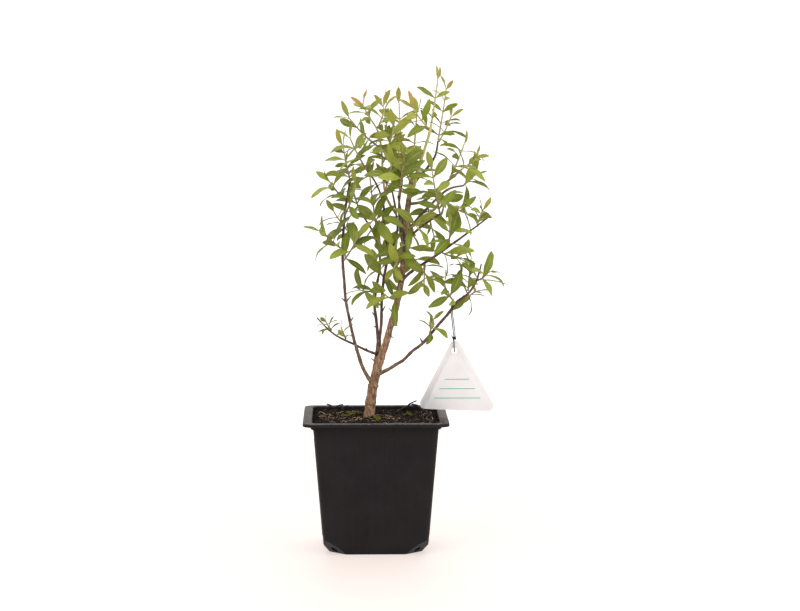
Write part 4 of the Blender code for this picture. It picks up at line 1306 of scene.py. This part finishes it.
# %% Curled roots
ROOT_STEPS = 22
ROOTS_A_NEST = 4
SINGLE_ROOTS = 26
ROOT_NESTS = ((327, -6), (333, 14), (330, 28), (390, -12), (396, 2), (352, -18), (430, 8))


def curled_root(rng, x, y, long, radius, curl):
    """A fine root that wanders over the crust and dips into it at both ends."""
    line = []
    heading = rng.uniform(0, 2 * math.pi)
    bend = rng.uniform(-curl, curl)
    half = wall_half(COLLAR_LOW - 3) - 4
    for k in range(ROOT_STEPS + 1):
        t = k / ROOT_STEPS
        bend += rng.uniform(-curl, curl) * 0.5
        bend *= 0.92
        heading += bend
        x = max(-half, min(half, x + math.cos(heading) * long / ROOT_STEPS))
        y = max(-half, min(half, y + math.sin(heading) * long / ROOT_STEPS))
        lift = 0.9 * math.sin(math.pi * t) ** 0.5 * (1 + 0.8 * math.sin(t * 9 + long)) - 0.5
        line.append((Vector((x, y, crust(x, y) + lift)), radius * (1 - 0.5 * t)))
    return tube(line, 6)


def roots():
    """A few nests where the photograph shows them, and single roots in between."""
    rng = random.Random(21)
    heap = Heap()
    for nest in ROOT_NESTS:
        spot = in_pot(*nest)
        for _ in range(ROOTS_A_NEST):
            heap.add(*curled_root(rng, spot.x + rng.uniform(-5, 5), spot.y + rng.uniform(-7, 7),
                                  rng.uniform(26, 48), rng.uniform(0.16, 0.28), 0.6))
    for _ in range(SINGLE_ROOTS):
        x, y = inside_pot(rng, 8)
        heap.add(*curled_root(rng, x, y, rng.uniform(12, 24), rng.uniform(0.10, 0.18), 0.45))
    return heap.make("curled_roots", ROOT, "peat_soil", smooth=True)


roots()

# %% [markdown]
# Moss is a patch of short pointed shoots. At this size a spike of three sides is enough for each,
# since the eye sees only the rough, light top of the patch.

# %% Moss
MOSS_R = 0.32
MOSS_PATCHES = ((354, 30, 7), (351, 18, 6), (377, -10, 3), (409, 22, 3), (344, 6, 3))


def moss_tuft(rng):
    """A short pointed shoot of moss with three sides."""
    tall = rng.uniform(0.9, 2.2)
    lean = Vector((rng.uniform(-0.6, 0.6), rng.uniform(-0.6, 0.6), tall))
    foot = [Vector((MOSS_R * math.cos(a), MOSS_R * math.sin(a), -0.4)) for a in (0.0, 2.1, 4.2)]
    return foot + [lean], [[0, 2, 1], [0, 1, 3], [1, 2, 3], [2, 0, 3]]


def moss_patch_spot(rng):
    """A place in one of the patches, given by column, depth and reach."""
    px, depth, wide = rng.choice(MOSS_PATCHES)
    spot = in_pot(px, depth)
    reach = wide * rng.random() ** 0.6
    turn = rng.uniform(0, 2 * math.pi)
    return spot.x + reach * math.cos(turn), spot.y + reach * math.sin(turn)


scatter("moss_shoots", MOSS, 1900, moss_tuft, 0.0, tilt=0.25, seed=12, spots=moss_patch_spot)

# %% [markdown]
# Bark changes with age. The trunk has tan, flaking bark with dark cracks, thin older stems are purple
# brown and nearly smooth, and this year's shoots are green with a pink side. So each point of the wood
# stores its own thickness and youth, and the bark finish is mixed from those two numbers.

# %% Bark
def bark_material():
    material, tree, shader = new_material("bark_fine")
    where = place_of(tree)
    long_way = drawn_out(tree, where, 0.28)
    flakes = noise_value(tree, long_way, 620.0, 6.0, 0.72)
    cracks = node(tree, "ShaderNodeTexVoronoi", {"feature": "DISTANCE_TO_EDGE"}, Vector=long_way,
                  Scale=520.0).outputs["Distance"]
    blotch = noise_value(tree, where, 130.0, 3.0)
    old = ramp(tree, flakes, [(0.34, (0.085, 0.042, 0.022)), (0.48, (0.27, 0.150, 0.086)),
                              (0.66, (0.50, 0.34, 0.215))])
    old = blend(tree, fit(tree, cracks, 0.0, 0.10, 0.7, 0.0), old, (0.060, 0.030, 0.017))
    thin = ramp(tree, flakes, [(0.34, (0.026, 0.014, 0.012)), (0.66, (0.125, 0.070, 0.054))])
    thin = blend(tree, fit(tree, blotch, 0.42, 0.66, 0.0, 0.65), thin, (0.225, 0.150, 0.095))
    thick = fit(tree, mark(tree, "thickness"), 1.2, 2.4)
    wood = blend(tree, thick, thin, old)
    mottle = noise_value(tree, where, 90.0, 2.0)
    fresh = ramp(tree, mottle, [(0.40, (0.40, 0.42, 0.13)), (0.62, (0.60, 0.42, 0.25))])
    youth = mark(tree, "youth")
    height = times(tree, sums(tree, "ADD", flakes, fit(tree, cracks, 0.0, 0.12, 0.0, 0.5)),
                   sums(tree, "SUBTRACT", 1.1, youth))
    wire(tree, shader, Base_Color=blend(tree, youth, wood, fresh), Specular_IOR_Level=0.2,
         Roughness=fit(tree, flakes, 0.3, 0.7, 0.62, 0.88), Normal=bump(tree, height, 0.7, 0.0006))
    return material


BARK = bark_material()

# %% [markdown]
# The measured lines of the branches are short straight steps. For the wood that is seen they are
# rounded and divided finely, and every ring swells or shrinks a little, at buds most of all. The
# branches are then joined into the trunk, so the forks have no gap and nothing hidden inside.

# %% Fine line along a branch
TRUNK_MESH, BRANCH_MESH = (1.1, 26), (1.4, 12)
THICK_R = 1.8
BUD = 0.16


def fine_line(line, step):
    """The measured line with points every step millimetres."""
    dense = smooth_line(line, 6)
    out = [dense[0]]
    for point, radius in dense[1:]:
        if (point - out[-1][0]).length > step:
            out.append((point, radius))
    out.append(dense[-1])
    return out


def knobbly_tube(line, sides, seed, rough):
    """A tube whose radius swells at buds and wanders as bark does."""
    points, faces = tube(line, sides)
    shift = Vector((seed * 3.7, seed * 1.9, seed * 5.3))
    for k, (middle, _) in enumerate(line):
        bud = BUD * max(0.0, math.sin(k * 0.62 + seed)) ** 14
        for i in range(sides):
            index = k * sides + i
            p = points[index]
            low = noise.noise(p * 0.22 + shift) * 0.16
            fine = noise.noise(Vector((p.x, p.y, p.z * 0.35)) * 1.15 + shift) * rough
            points[index] = middle + (p - middle) * (1 + low + fine + bud)
    return points, faces


def fine_wood():
    """Trunk, branches and spurs joined into one mesh."""
    rest = new_collection("branches")
    for index, (name, (line, _)) in enumerate(lines.items()):
        step, sides = TRUNK_MESH if name == "trunk" else BRANCH_MESH
        rough = 0.10 if line[0][1] > THICK_R else 0.06
        piece = make_piece(name, *knobbly_tube(fine_line(line, step), sides, index, rough), [BARK])
        if name == "trunk":
            trunk = piece
        else:
            into(rest, piece)
    for index, line in enumerate(spur_lines(lines)):
        (a, ra), (b, rb) = line
        fine = [(a.lerp(b, t), ra * (1 - t) + rb * t) for t in (0, 0.2, 0.4, 0.6, 0.8, 1.0)]
        into(rest, make_piece("spur", *knobbly_tube(fine, 8, index, 0.12), [BARK]))
    trunk.name = "barked_wood"
    return join_in(trunk, rest, "UNION")


# %% Thickness and youth on the wood
YOUNG = {"young_shoot": 1.0, "pink_shoot": 0.85, "right_high": 0.35}


def mark_wood(obj):
    """Gives each point of the wood the thickness and youth of the nearest place on a branch."""
    samples = []
    for name, (line, _) in lines.items():
        for k, (point, radius) in enumerate(fine_line(line, 2.0)):
            youth = YOUNG.get(name, 0.0) * min(1.0, 0.35 + k / 12)
            samples.append((point, radius, youth))
    tree = KDTree(len(samples))
    for k, (point, _, _) in enumerate(samples):
        tree.insert(point, k)
    tree.balance()
    nearest = [samples[tree.find(vertex.co / MM)[1]] for vertex in obj.data.vertices]
    store(obj.data, {"thickness": [near[1] for near in nearest], "youth": [near[2] for near in nearest]})


wood = fine_wood()
mark_wood(wood)
shade(wood)
dress(wood, "bark", "tree_wood")
print("wood faces", len(wood.data.polygons))

# %% [markdown]
# A pomegranate leaf is thin, smooth and a little shiny above, paler and duller below, with a pale
# midrib and side veins that arch towards the margin. Light shines through it, which is why leaves
# against a bright wall look yellow-green. Young leaves start bronze. All of that is one material that
# reads five numbers stored on each leaf: along, across, tone, youth and under.

# %% Leaf finish
MARKS = ("along", "across", "tone", "youth", "under")


def vein_group():
    """Masks of the side veins and of the midrib, from the place along and across a leaf."""
    group, given, out = new_group(
        "leaf veins", [("Along", FLOAT, 0.0), ("Across", FLOAT, 0.0), ("Count", FLOAT, 11.0)],
        [("Veins", FLOAT), ("Midrib", FLOAT)])
    away = sums(group, "ABSOLUTE", given.outputs["Across"])
    slant = sums(group, "SUBTRACT", given.outputs["Along"], times(group, away, 0.13))
    wave = sums(group, "FRACT", times(group, slant, given.outputs["Count"]))
    near = sums(group, "ABSOLUTE", sums(group, "SUBTRACT", wave, 0.5))
    line = fit(group, near, 0.0, 0.11, 1.0, 0.0)
    fade = fit(group, away, 0.55, 1.0, 1.0, 0.0)
    wire(group, out, Veins=times(group, line, fade), Midrib=fit(group, away, 0.03, 0.17, 1.0, 0.0))
    return group


VEINS = vein_group()


def leaf_material():
    material, tree, shader = new_material("leaf_fine")
    along, across, tone, youth, under = (mark(tree, key) for key in MARKS)
    lines_on = use_group(tree, VEINS, Along=along, Across=across)
    veins, midrib = lines_on.outputs["Veins"], lines_on.outputs["Midrib"]
    green = ramp(tree, tone, [(0.0, (0.080, 0.115, 0.014)), (0.35, (0.200, 0.255, 0.034)),
                              (0.7, (0.380, 0.435, 0.066)), (1.0, (0.52, 0.56, 0.10))])
    patch = noise_value(tree, place_of(tree), 190.0, 4.0)
    green = blend(tree, fit(tree, patch, 0.35, 0.7, 0.0, 0.45), green, (0.28, 0.33, 0.030))
    young = ramp(tree, along, [(0.0, (0.48, 0.49, 0.10)), (0.45, (0.55, 0.46, 0.11)),
                               (1.0, (0.66, 0.30, 0.12))])
    young = blend(tree, fit(tree, youth, 0.62, 0.95, 0.0, 0.8), young, (0.60, 0.30, 0.13))
    body = blend(tree, youth, green, young)
    body = blend(tree, times(tree, veins, 0.30), body, (0.36, 0.42, 0.07))
    body = blend(tree, times(tree, midrib, 0.62), body, (0.50, 0.52, 0.14))
    body = blend(tree, fit(tree, along, 0.02, 0.16, 0.6, 0.0), body, (0.46, 0.28, 0.12))
    body = blend(tree, times(tree, under, 0.42), body, (0.36, 0.41, 0.11))
    body, grain = grainy(tree, body, 1500.0, 0.12)
    dull = sums(tree, "ADD", under, times(tree, patch, 0.5))
    raised = sums(tree, "ADD", veins, times(tree, midrib, 1.2))
    height = sums(tree, "SUBTRACT", times(tree, grain, 0.25), raised)
    wire(tree, shader, Base_Color=body, Specular_IOR_Level=0.26,
         Roughness=fit(tree, dull, 0.2, 1.4, 0.34, 0.68), Normal=bump(tree, height, 0.55, 0.00022))
    lit = blend(tree, 0.5, body, (0.55, 0.61, 0.09))
    through = node(tree, "ShaderNodeBsdfTranslucent", None, Color=lit)
    mixed = node(tree, "ShaderNodeMixShader", None, i0=0.40, i1=shader.outputs[0], i2=through.outputs[0])
    wire(tree, tree.nodes["Material Output"], Surface=mixed.outputs[0])
    return material


LEAF = leaf_material()

# %% [markdown]
# The twigs that carry the leaves are this year's growth, thin and smooth. They get a finish of their own,
# without cracks, that turns from green to pink by the same stored youth.

# %% Young shoot finish
def shoot_material():
    """This year's growth: green below, pink towards the tip, or purple brown where it has ripened."""
    material, tree, shader = new_material("young_shoot_fine")
    mottle = noise_value(tree, place_of(tree), 300.0, 4.0)
    ripe = ramp(tree, mottle, [(0.3, (0.070, 0.034, 0.026)), (0.7, (0.20, 0.115, 0.070))])
    fresh = ramp(tree, mottle, [(0.3, (0.36, 0.33, 0.12)), (0.7, (0.50, 0.33, 0.21))])
    colour = blend(tree, mark(tree, "youth"), ripe, fresh)
    colour, grain = grainy(tree, colour, 1200.0, 0.15)
    wire(tree, shader, Base_Color=colour, Roughness=fit(tree, mottle, 0.3, 0.7, 0.45, 0.62),
         Normal=bump(tree, grain, 0.4, 0.0002))
    return material


SHOOT = shoot_material()

# %% [markdown]
# The fine leaf follows the same arched midrib as the solid's keel. Its blade is a thin closed sheet of
# two skins: folded a little along the midrib, with a gentle wave in the margins, a raised rib below
# and a stalk at the foot. The skins meet at the margin, so the mesh has no open edge.

# %% Fine leaf
ACROSS = (-1.0, -0.82, -0.55, -0.26, -0.09, 0.0, 0.09, 0.26, 0.55, 0.82, 1.0)
LEAF_ROWS = 18
BLADE_THICK, STALK_THICK = 0.13, 0.30
RIB_DEEP, RIB_WIDE = 0.30, 0.13
GROOVE_DEEP, GROOVE_WIDE = 0.10, 0.10


def frame_at(frames, t):
    """A frame between the eleven of the midrib."""
    place = t * (len(frames) - 1)
    i = min(int(place), len(frames) - 2)
    part = place - i
    (a, sa, na), (b, sb, nb) = frames[i], frames[i + 1]
    return a.lerp(b, part), sa.lerp(sb, part).normalized(), na.lerp(nb, part).normalized()


def blade_point(leaf, frames, t, u, skin, phase, wave):
    """A point of the upper skin (1) or the lower skin (0), at t along the leaf and u across it."""
    point, side, normal = frame_at(frames, t)
    half = max(0.40 * (1 - t) ** 0.5 * (t < 0.2), leaf["width"] / 2 * leaf_share(min(t, 0.999)))
    half = max(half, 0.06)
    stalk = max(0.0, 1 - t / 0.16)
    fold = (0.20 * abs(u) - 0.10 * abs(u) ** 3) * half * (1 - stalk)
    ripple = wave * half * abs(u) ** 2 * math.sin(t * 11 + phase + (1.6 if u > 0 else 0.0)) * (1 - stalk)
    thin = (BLADE_THICK + STALK_THICK * stalk) * max(0.0, 1 - abs(u) ** 4)
    rib = RIB_DEEP * (1 - 0.7 * t) * math.exp(-(u / RIB_WIDE) ** 2) * (1 - stalk)
    lift = fold + ripple + (thin if skin else -thin - rib)
    if skin:
        lift -= GROOVE_DEEP * math.exp(-(u / GROOVE_WIDE) ** 2) * (1 - stalk)
    return point + side * (u * half) + normal * lift


def note(marks, *values):
    """Adds one point's numbers, in the order of MARKS."""
    for key, value in zip(MARKS, values):
        marks[key].append(value)


def fine_leaf(leaf, tone, youth, phase, wave):
    """Points, faces and the numbers that the leaf finish reads."""
    frames = leaf_axis(leaf)
    points, marks = [], {key: [] for key in MARKS}
    width = len(ACROSS)

    def put(p, t, u, under):
        points.append(p)
        note(marks, t, u, tone, youth, under)

    for skin in (1, 0):
        for row in range(LEAF_ROWS):
            t = (row / LEAF_ROWS) ** 0.95
            for u in ACROSS:
                put(blade_point(leaf, frames, t, u, skin, phase, wave), t, u, 0.0 if skin else 1.0)
    tip = len(points)
    put(frames[-1][0], 1.0, 0.0, 0.5)
    faces = []
    lower = LEAF_ROWS * width
    for row in range(LEAF_ROWS - 1):
        a = row * width
        for i in range(width - 1):
            faces.append((a + i, a + i + 1, a + width + i + 1, a + width + i))
            faces.append((lower + a + i, lower + a + width + i, lower + a + width + i + 1, lower + a + i + 1))
    a = (LEAF_ROWS - 1) * width
    for i in range(width - 1):
        faces.append((a + i, a + i + 1, tip))
        faces.append((lower + a + i + 1, lower + a + i, tip))
    for row in range(LEAF_ROWS):
        a = row * width
        b = a + width
        for i in (0, width - 1):
            ring = [a + i, lower + a + i] + ([lower + b + i, b + i] if row < LEAF_ROWS - 1 else [tip])
            faces.append(tuple(ring if i == 0 else reversed(ring)))
    faces.append((*range(width - 1, -1, -1), *range(lower, lower + width)))
    return points, faces, marks


# %% [markdown]
# A shoot is its twig plus its leaves in one mesh, as in the solids. Tones are drawn once for each leaf
# from a seeded source; leaves near the tip of a shoot are younger, and some shoots, most of them near
# the top, carry bronze ones.

# %% Shoots with their leaves
FINE_TWIG_SIDES = 9
TONE_SEED = 900
BRONZE = {"spray_top_spear": 1.0, "spray_top_twin": 1.0, "spray_pink_tip": 1.0, "spray_crown_mid": 0.95,
          "spray_crown_back_left": 0.9, "spray_pink_high": 0.9, "spray_crown_dark": 0.8,
          "spray_top_right": 0.8, "spray_crown_back": 0.8, "spray_high_mid": 0.8, "spray_high_tip": 0.5,
          "spray_tag_top": 0.5, "spray_right_tip": 0.4, "spray_pink_front": 0.35,
          "spray_crown_centre": 0.3, "spray_leader_tip": 0.3}


def twig_mesh(line, fresh):
    """A twig that is younger towards its tip, with the same numbers on its points as a leaf has."""
    dense = fine_line([(p, r * 0.92) for p, r in line], 1.6)
    points, faces = knobbly_tube(dense, FINE_TWIG_SIDES, len(dense), 0.05)
    marks = {key: [] for key in MARKS}
    for k in range(len(dense)):
        t = k / (len(dense) - 1)
        for _ in range(FINE_TWIG_SIDES):
            note(marks, t, 0.0, 0.5, min(1.0, fresh + 0.5 * t), 0.0)
    return points, faces, marks


def build_shoot(name, index):
    """One shoot as a single piece: its twig in the second material, its leaves in the first."""
    rng = random.Random(TONE_SEED + index)
    fresh = BRONZE.get(name, 0.0)
    line = twigs[name]
    points, faces, marks = twig_mesh(line, 0.25 + 0.9 * fresh)
    slots = [1] * len(faces)
    reach = (line[-1][0] - line[0][0]).length
    for leaf in grown[name]:
        part = min(1.0, (leaf["base"] - line[0][0]).length / reach)
        youth = max(0.0, (part - 0.45) / 0.55) ** 1.5 * (0.22 + 0.78 * fresh) * rng.uniform(0.7, 1.0)
        tone = min(1.0, max(0.0, rng.gauss(0.40 + 0.25 * fresh, 0.20)))
        more, sides, extra = fine_leaf(leaf, tone, youth, rng.uniform(0, 6), rng.uniform(0.03, 0.13))
        start = len(points)
        points += more
        faces += [tuple(start + i for i in face) for face in sides]
        slots += [0] * len(sides)
        for key in MARKS:
            marks[key] += extra[key]
    obj = make_piece(name + "_leafy", points, faces, [LEAF, SHOOT], marks, slots)
    return dress(obj, "leaf_green", name)


for index, spec in enumerate(SPRAYS):
    build_shoot(spec[0], index)
print("leafy shoots", len(SPRAYS))

# %% [markdown]
# The tag is a milky sheet of soft plastic. A little of the light goes through it, and it is slightly
# hazy. Its face carries plain ruled lines to write on, drawn by masks in the material, so they keep
# their sharp edges at any distance.

# %% Tag finish
RULED = ((11.0, 21.0), (19.5, 16.0), (28.0, 11.0))
RULE_HALF = 0.45


def bar_group():
    """The mask of one upright bar, from a place in metres and the bar's middle and half sizes."""
    group, given, out = new_group(
        "ruled bar", [("Place", VECTOR, None), ("Middle", VECTOR, None), ("Half width", FLOAT, 0.01),
                      ("Half height", FLOAT, 0.0005)], [("Mask", FLOAT)])
    away = node(group, "ShaderNodeVectorMath", {"operation": "SUBTRACT"}, i0=given.outputs["Place"],
                i1=given.outputs["Middle"]).outputs[0]
    parts = node(group, "ShaderNodeSeparateXYZ", None, Vector=away)
    inside = []
    for axis, size in (("X", "Half width"), ("Z", "Half height")):
        gap = sums(group, "SUBTRACT", given.outputs[size], sums(group, "ABSOLUTE", parts.outputs[axis]))
        inside.append(fit(group, gap, 0.0, 0.00012))
    wire(group, out, Mask=times(group, *inside))
    return group


BAR = bar_group()


def tag_material():
    """A milky sheet with ruled lines, given by their height on the tag and half their length."""
    material, tree, shader = new_material("tag_sheet")
    where = place_of(tree)
    hazy = noise_value(tree, where, 60.0, 3.0)
    sheet = ramp(tree, hazy, [(0.3, (0.75, 0.725, 0.725)), (0.7, (0.80, 0.775, 0.775))])
    lowest = sum((from_photo(*c, TAG_DEPTH) for c in (TAG_LEFT, TAG_RIGHT)), Vector()) / 2
    mask = None
    for up, half in RULED:
        middle = (lowest + Vector((0, 0, up))) * MM
        bar = use_group(tree, BAR, Place=where, Middle=middle, Half_width=half * MM,
                        Half_height=RULE_HALF * MM).outputs["Mask"]
        mask = bar if mask is None else sums(tree, "MAXIMUM", mask, bar)
    printed = blend(tree, times(tree, mask, 0.9), sheet, (0.045, 0.42, 0.37))
    wire(tree, shader, Base_Color=printed, Roughness=fit(tree, hazy, 0.3, 0.7, 0.30, 0.42),
         Transmission_Weight=0.22, IOR=1.45,
         Normal=bump(tree, noise_value(tree, where, 900.0, 3.0), 0.15, 0.0001))
    return material


TAG_SHEET = tag_material()

# %% Tag plate
PUNCH_SIDES = 48
TAG_BEVEL = 0.22
TAG_CREASE = 0.6


def soften_edges(obj, width):
    """A small bevel, which catches light as a cut edge does."""
    bevel = obj.modifiers.new("bevel", "BEVEL")
    bevel.width = width * MM
    bevel.segments = 2
    bevel.limit_method = "ANGLE"
    bevel.angle_limit = 0.5
    bevel.harden_normals = True
    settle(obj)


def tag_plate():
    """The rounded plate with its hole punched through."""
    tag = make_piece("tag_plate", *loft(tag_rings()), [TAG_SHEET])
    punch = rod(from_photo(*TAG_HOLE, TAG_DEPTH), TAG_HOLE_R, (-3, 3), PUNCH_SIDES, upright=False)
    join_in(tag, punch, "DIFFERENCE", "EXACT")
    soften_edges(tag, TAG_BEVEL)
    shade(tag, TAG_CREASE)
    return dress(tag, "tag_plastic", "tag")


tag = tag_plate()
print("tag faces", len(tag.data.polygons))

# %% [markdown]
# The tie is a round black cord along the route above, and its knot is wound round the two strands.

# %% Tie finish
def cord_material():
    material, tree, shader = new_material("tie_black")
    slant = node(tree, "ShaderNodeTexWave", {"wave_type": "BANDS", "bands_direction": "DIAGONAL"},
                 Vector=place_of(tree), Scale=420.0, Distortion=0.6).outputs["Fac"]
    tone = ramp(tree, slant, [(0.2, (0.005, 0.004, 0.004)), (0.8, (0.022, 0.017, 0.016))])
    wire(tree, shader, Base_Color=tone, Roughness=fit(tree, slant, 0.0, 1.0, 0.75, 0.5),
         Specular_IOR_Level=0.2, Normal=bump(tree, slant, 0.6, 0.0002))
    return material


TIE_BLACK = cord_material()


# %% Cord of the tie, and its knot
KNOT_TURNS = 3
KNOT_STEPS = 32
KNOT_PITCH, KNOT_WIDE, KNOT_DEEP = 0.8, 1.35, 2.35


def tie():
    """The cord, round in section, along the route."""
    curve = bpy.data.curves.new("tie", "CURVE")
    curve.dimensions = "3D"
    curve.bevel_depth = TIE_R * MM
    curve.bevel_resolution = 4
    curve.use_fill_caps = True
    spline = curve.splines.new("POLY")
    spline.points.add(len(route) - 1)
    for point, place in zip(spline.points, route):
        point.co = (*(place * MM), 1.0)
    curve.materials.append(TIE_BLACK)
    obj = bpy.data.objects.new("tie_strands", curve)
    bpy.context.scene.collection.objects.link(obj)
    return dress(obj, "tie_cord", "tag_tie")


def knot():
    """Turns wound tight round the strands where the tie is made fast."""
    hole = from_photo(*TAG_HOLE, TAG_DEPTH)
    middle = Vector((hole.x, TAG_DEPTH - 0.15, hole.z + KNOT_UP + 0.7))
    line = []
    for k in range(KNOT_TURNS * KNOT_STEPS + 1):
        turns = k / KNOT_STEPS
        a = 2 * math.pi * turns
        rise = (turns - KNOT_TURNS / 2) * KNOT_PITCH
        line.append((middle + Vector((KNOT_WIDE * math.cos(a), KNOT_DEEP * math.sin(a), rise)), TIE_R))
    obj = make_piece("tie_knot", *tube(line, 8), [TIE_BLACK])
    return dress(obj, "tie_cord")


strands = tie()
knot_piece = knot()

# %% [markdown]
# The photograph was taken on a white sweep with broad soft light from above and in front. A pale floor
# that curves up behind the object, large lamps and a bright surround give the same even light. The
# floor also glows a little, as a lit table does, so that the shadow under the pot stays faint.

# %% Floor and light
FLOOR_GLOW = 0.75
SWEEP_FRONT, SWEEP_BACK, SWEEP_BEND, SWEEP_FAR = -4000.0, 1600.0, 1200.0, 5000.0
BEND_STEPS = 16
LAMP_TINT = (1.0, 0.985, 0.965)


def sweep():
    """A floor that is cream near the pot and white further off, and curves up into a wall behind."""
    material, tree, shader = new_material("pale_floor")
    where = place_of(tree)
    cloudy = noise_value(tree, where, 3.0, 2.0)
    cream = ramp(tree, cloudy, [(0.3, (0.790, 0.710, 0.665)), (0.7, (0.820, 0.735, 0.690))])
    reach = node(tree, "ShaderNodeVectorMath", {"operation": "LENGTH"}, i0=where).outputs["Value"]
    tone = blend(tree, fit(tree, reach, 0.35, 1.1), cream, (0.98, 0.975, 0.97))
    # The floor's glow is painted light: it lifts the shadow under the pot.
    wire(tree, shader, Base_Color=blend(tree, 0.6, tone, (0.0, 0.0, 0.0)), Emission_Color=tone,
         Emission_Strength=FLOOR_GLOW, Roughness=0.6)
    profile = [(SWEEP_FRONT, 0.0), (SWEEP_BACK, 0.0)]
    for k in range(1, BEND_STEPS + 1):
        a = math.pi / 2 * k / BEND_STEPS
        profile.append((SWEEP_BACK + SWEEP_BEND * math.sin(a), SWEEP_BEND - SWEEP_BEND * math.cos(a)))
    profile.append((SWEEP_BACK + SWEEP_BEND, SWEEP_FAR))
    points = [(x, y, z) for y, z in profile for x in (-SWEEP_FAR, SWEEP_FAR)]
    faces = [(2 * k, 2 * k + 1, 2 * k + 3, 2 * k + 2) for k in range(len(profile) - 1)]
    floor = make_piece("pale_sweep", points, faces, [material], closed=False)


def lamp(name, place, target, size, power):
    """A square lamp turned towards a target."""
    print(name, power, "W")
    data = bpy.data.lights.new(name, "AREA")
    data.energy = power
    data.size = size
    data.color = LAMP_TINT
    obj = bpy.data.objects.new(name, data)
    obj.location = place
    obj.rotation_euler = (Vector(target) - Vector(place)).to_track_quat("-Z", "Y").to_euler()
    bpy.context.scene.collection.objects.link(obj)


def surround():
    """A bright, nearly white world."""
    world = bpy.data.worlds.new("surround")
    bpy.context.scene.world = world
    world.use_nodes = True
    tree = world.node_tree
    wire(tree, tree.nodes["Background"], Color=(1.0, 0.992, 0.982, 1.0), Strength=1.02)


sweep()
surround()
lamp("key_lamp", (-0.9, -1.6, 1.9), (0.0, 0.0, 0.2), size=1.6, power=22.0)
lamp("fill_lamp", (1.4, -1.2, 1.2), (0.0, 0.0, 0.2), size=1.5, power=11.0)
lamp("back_lamp", (0.2, 1.3, 1.8), (0.0, 0.0, 0.25), size=1.4, power=14.0)
bpy.context.scene.view_settings.view_transform = "Standard"

# %% [markdown]
# At the end the scene is brought up to date once more.


bpy.context.view_layer.update()
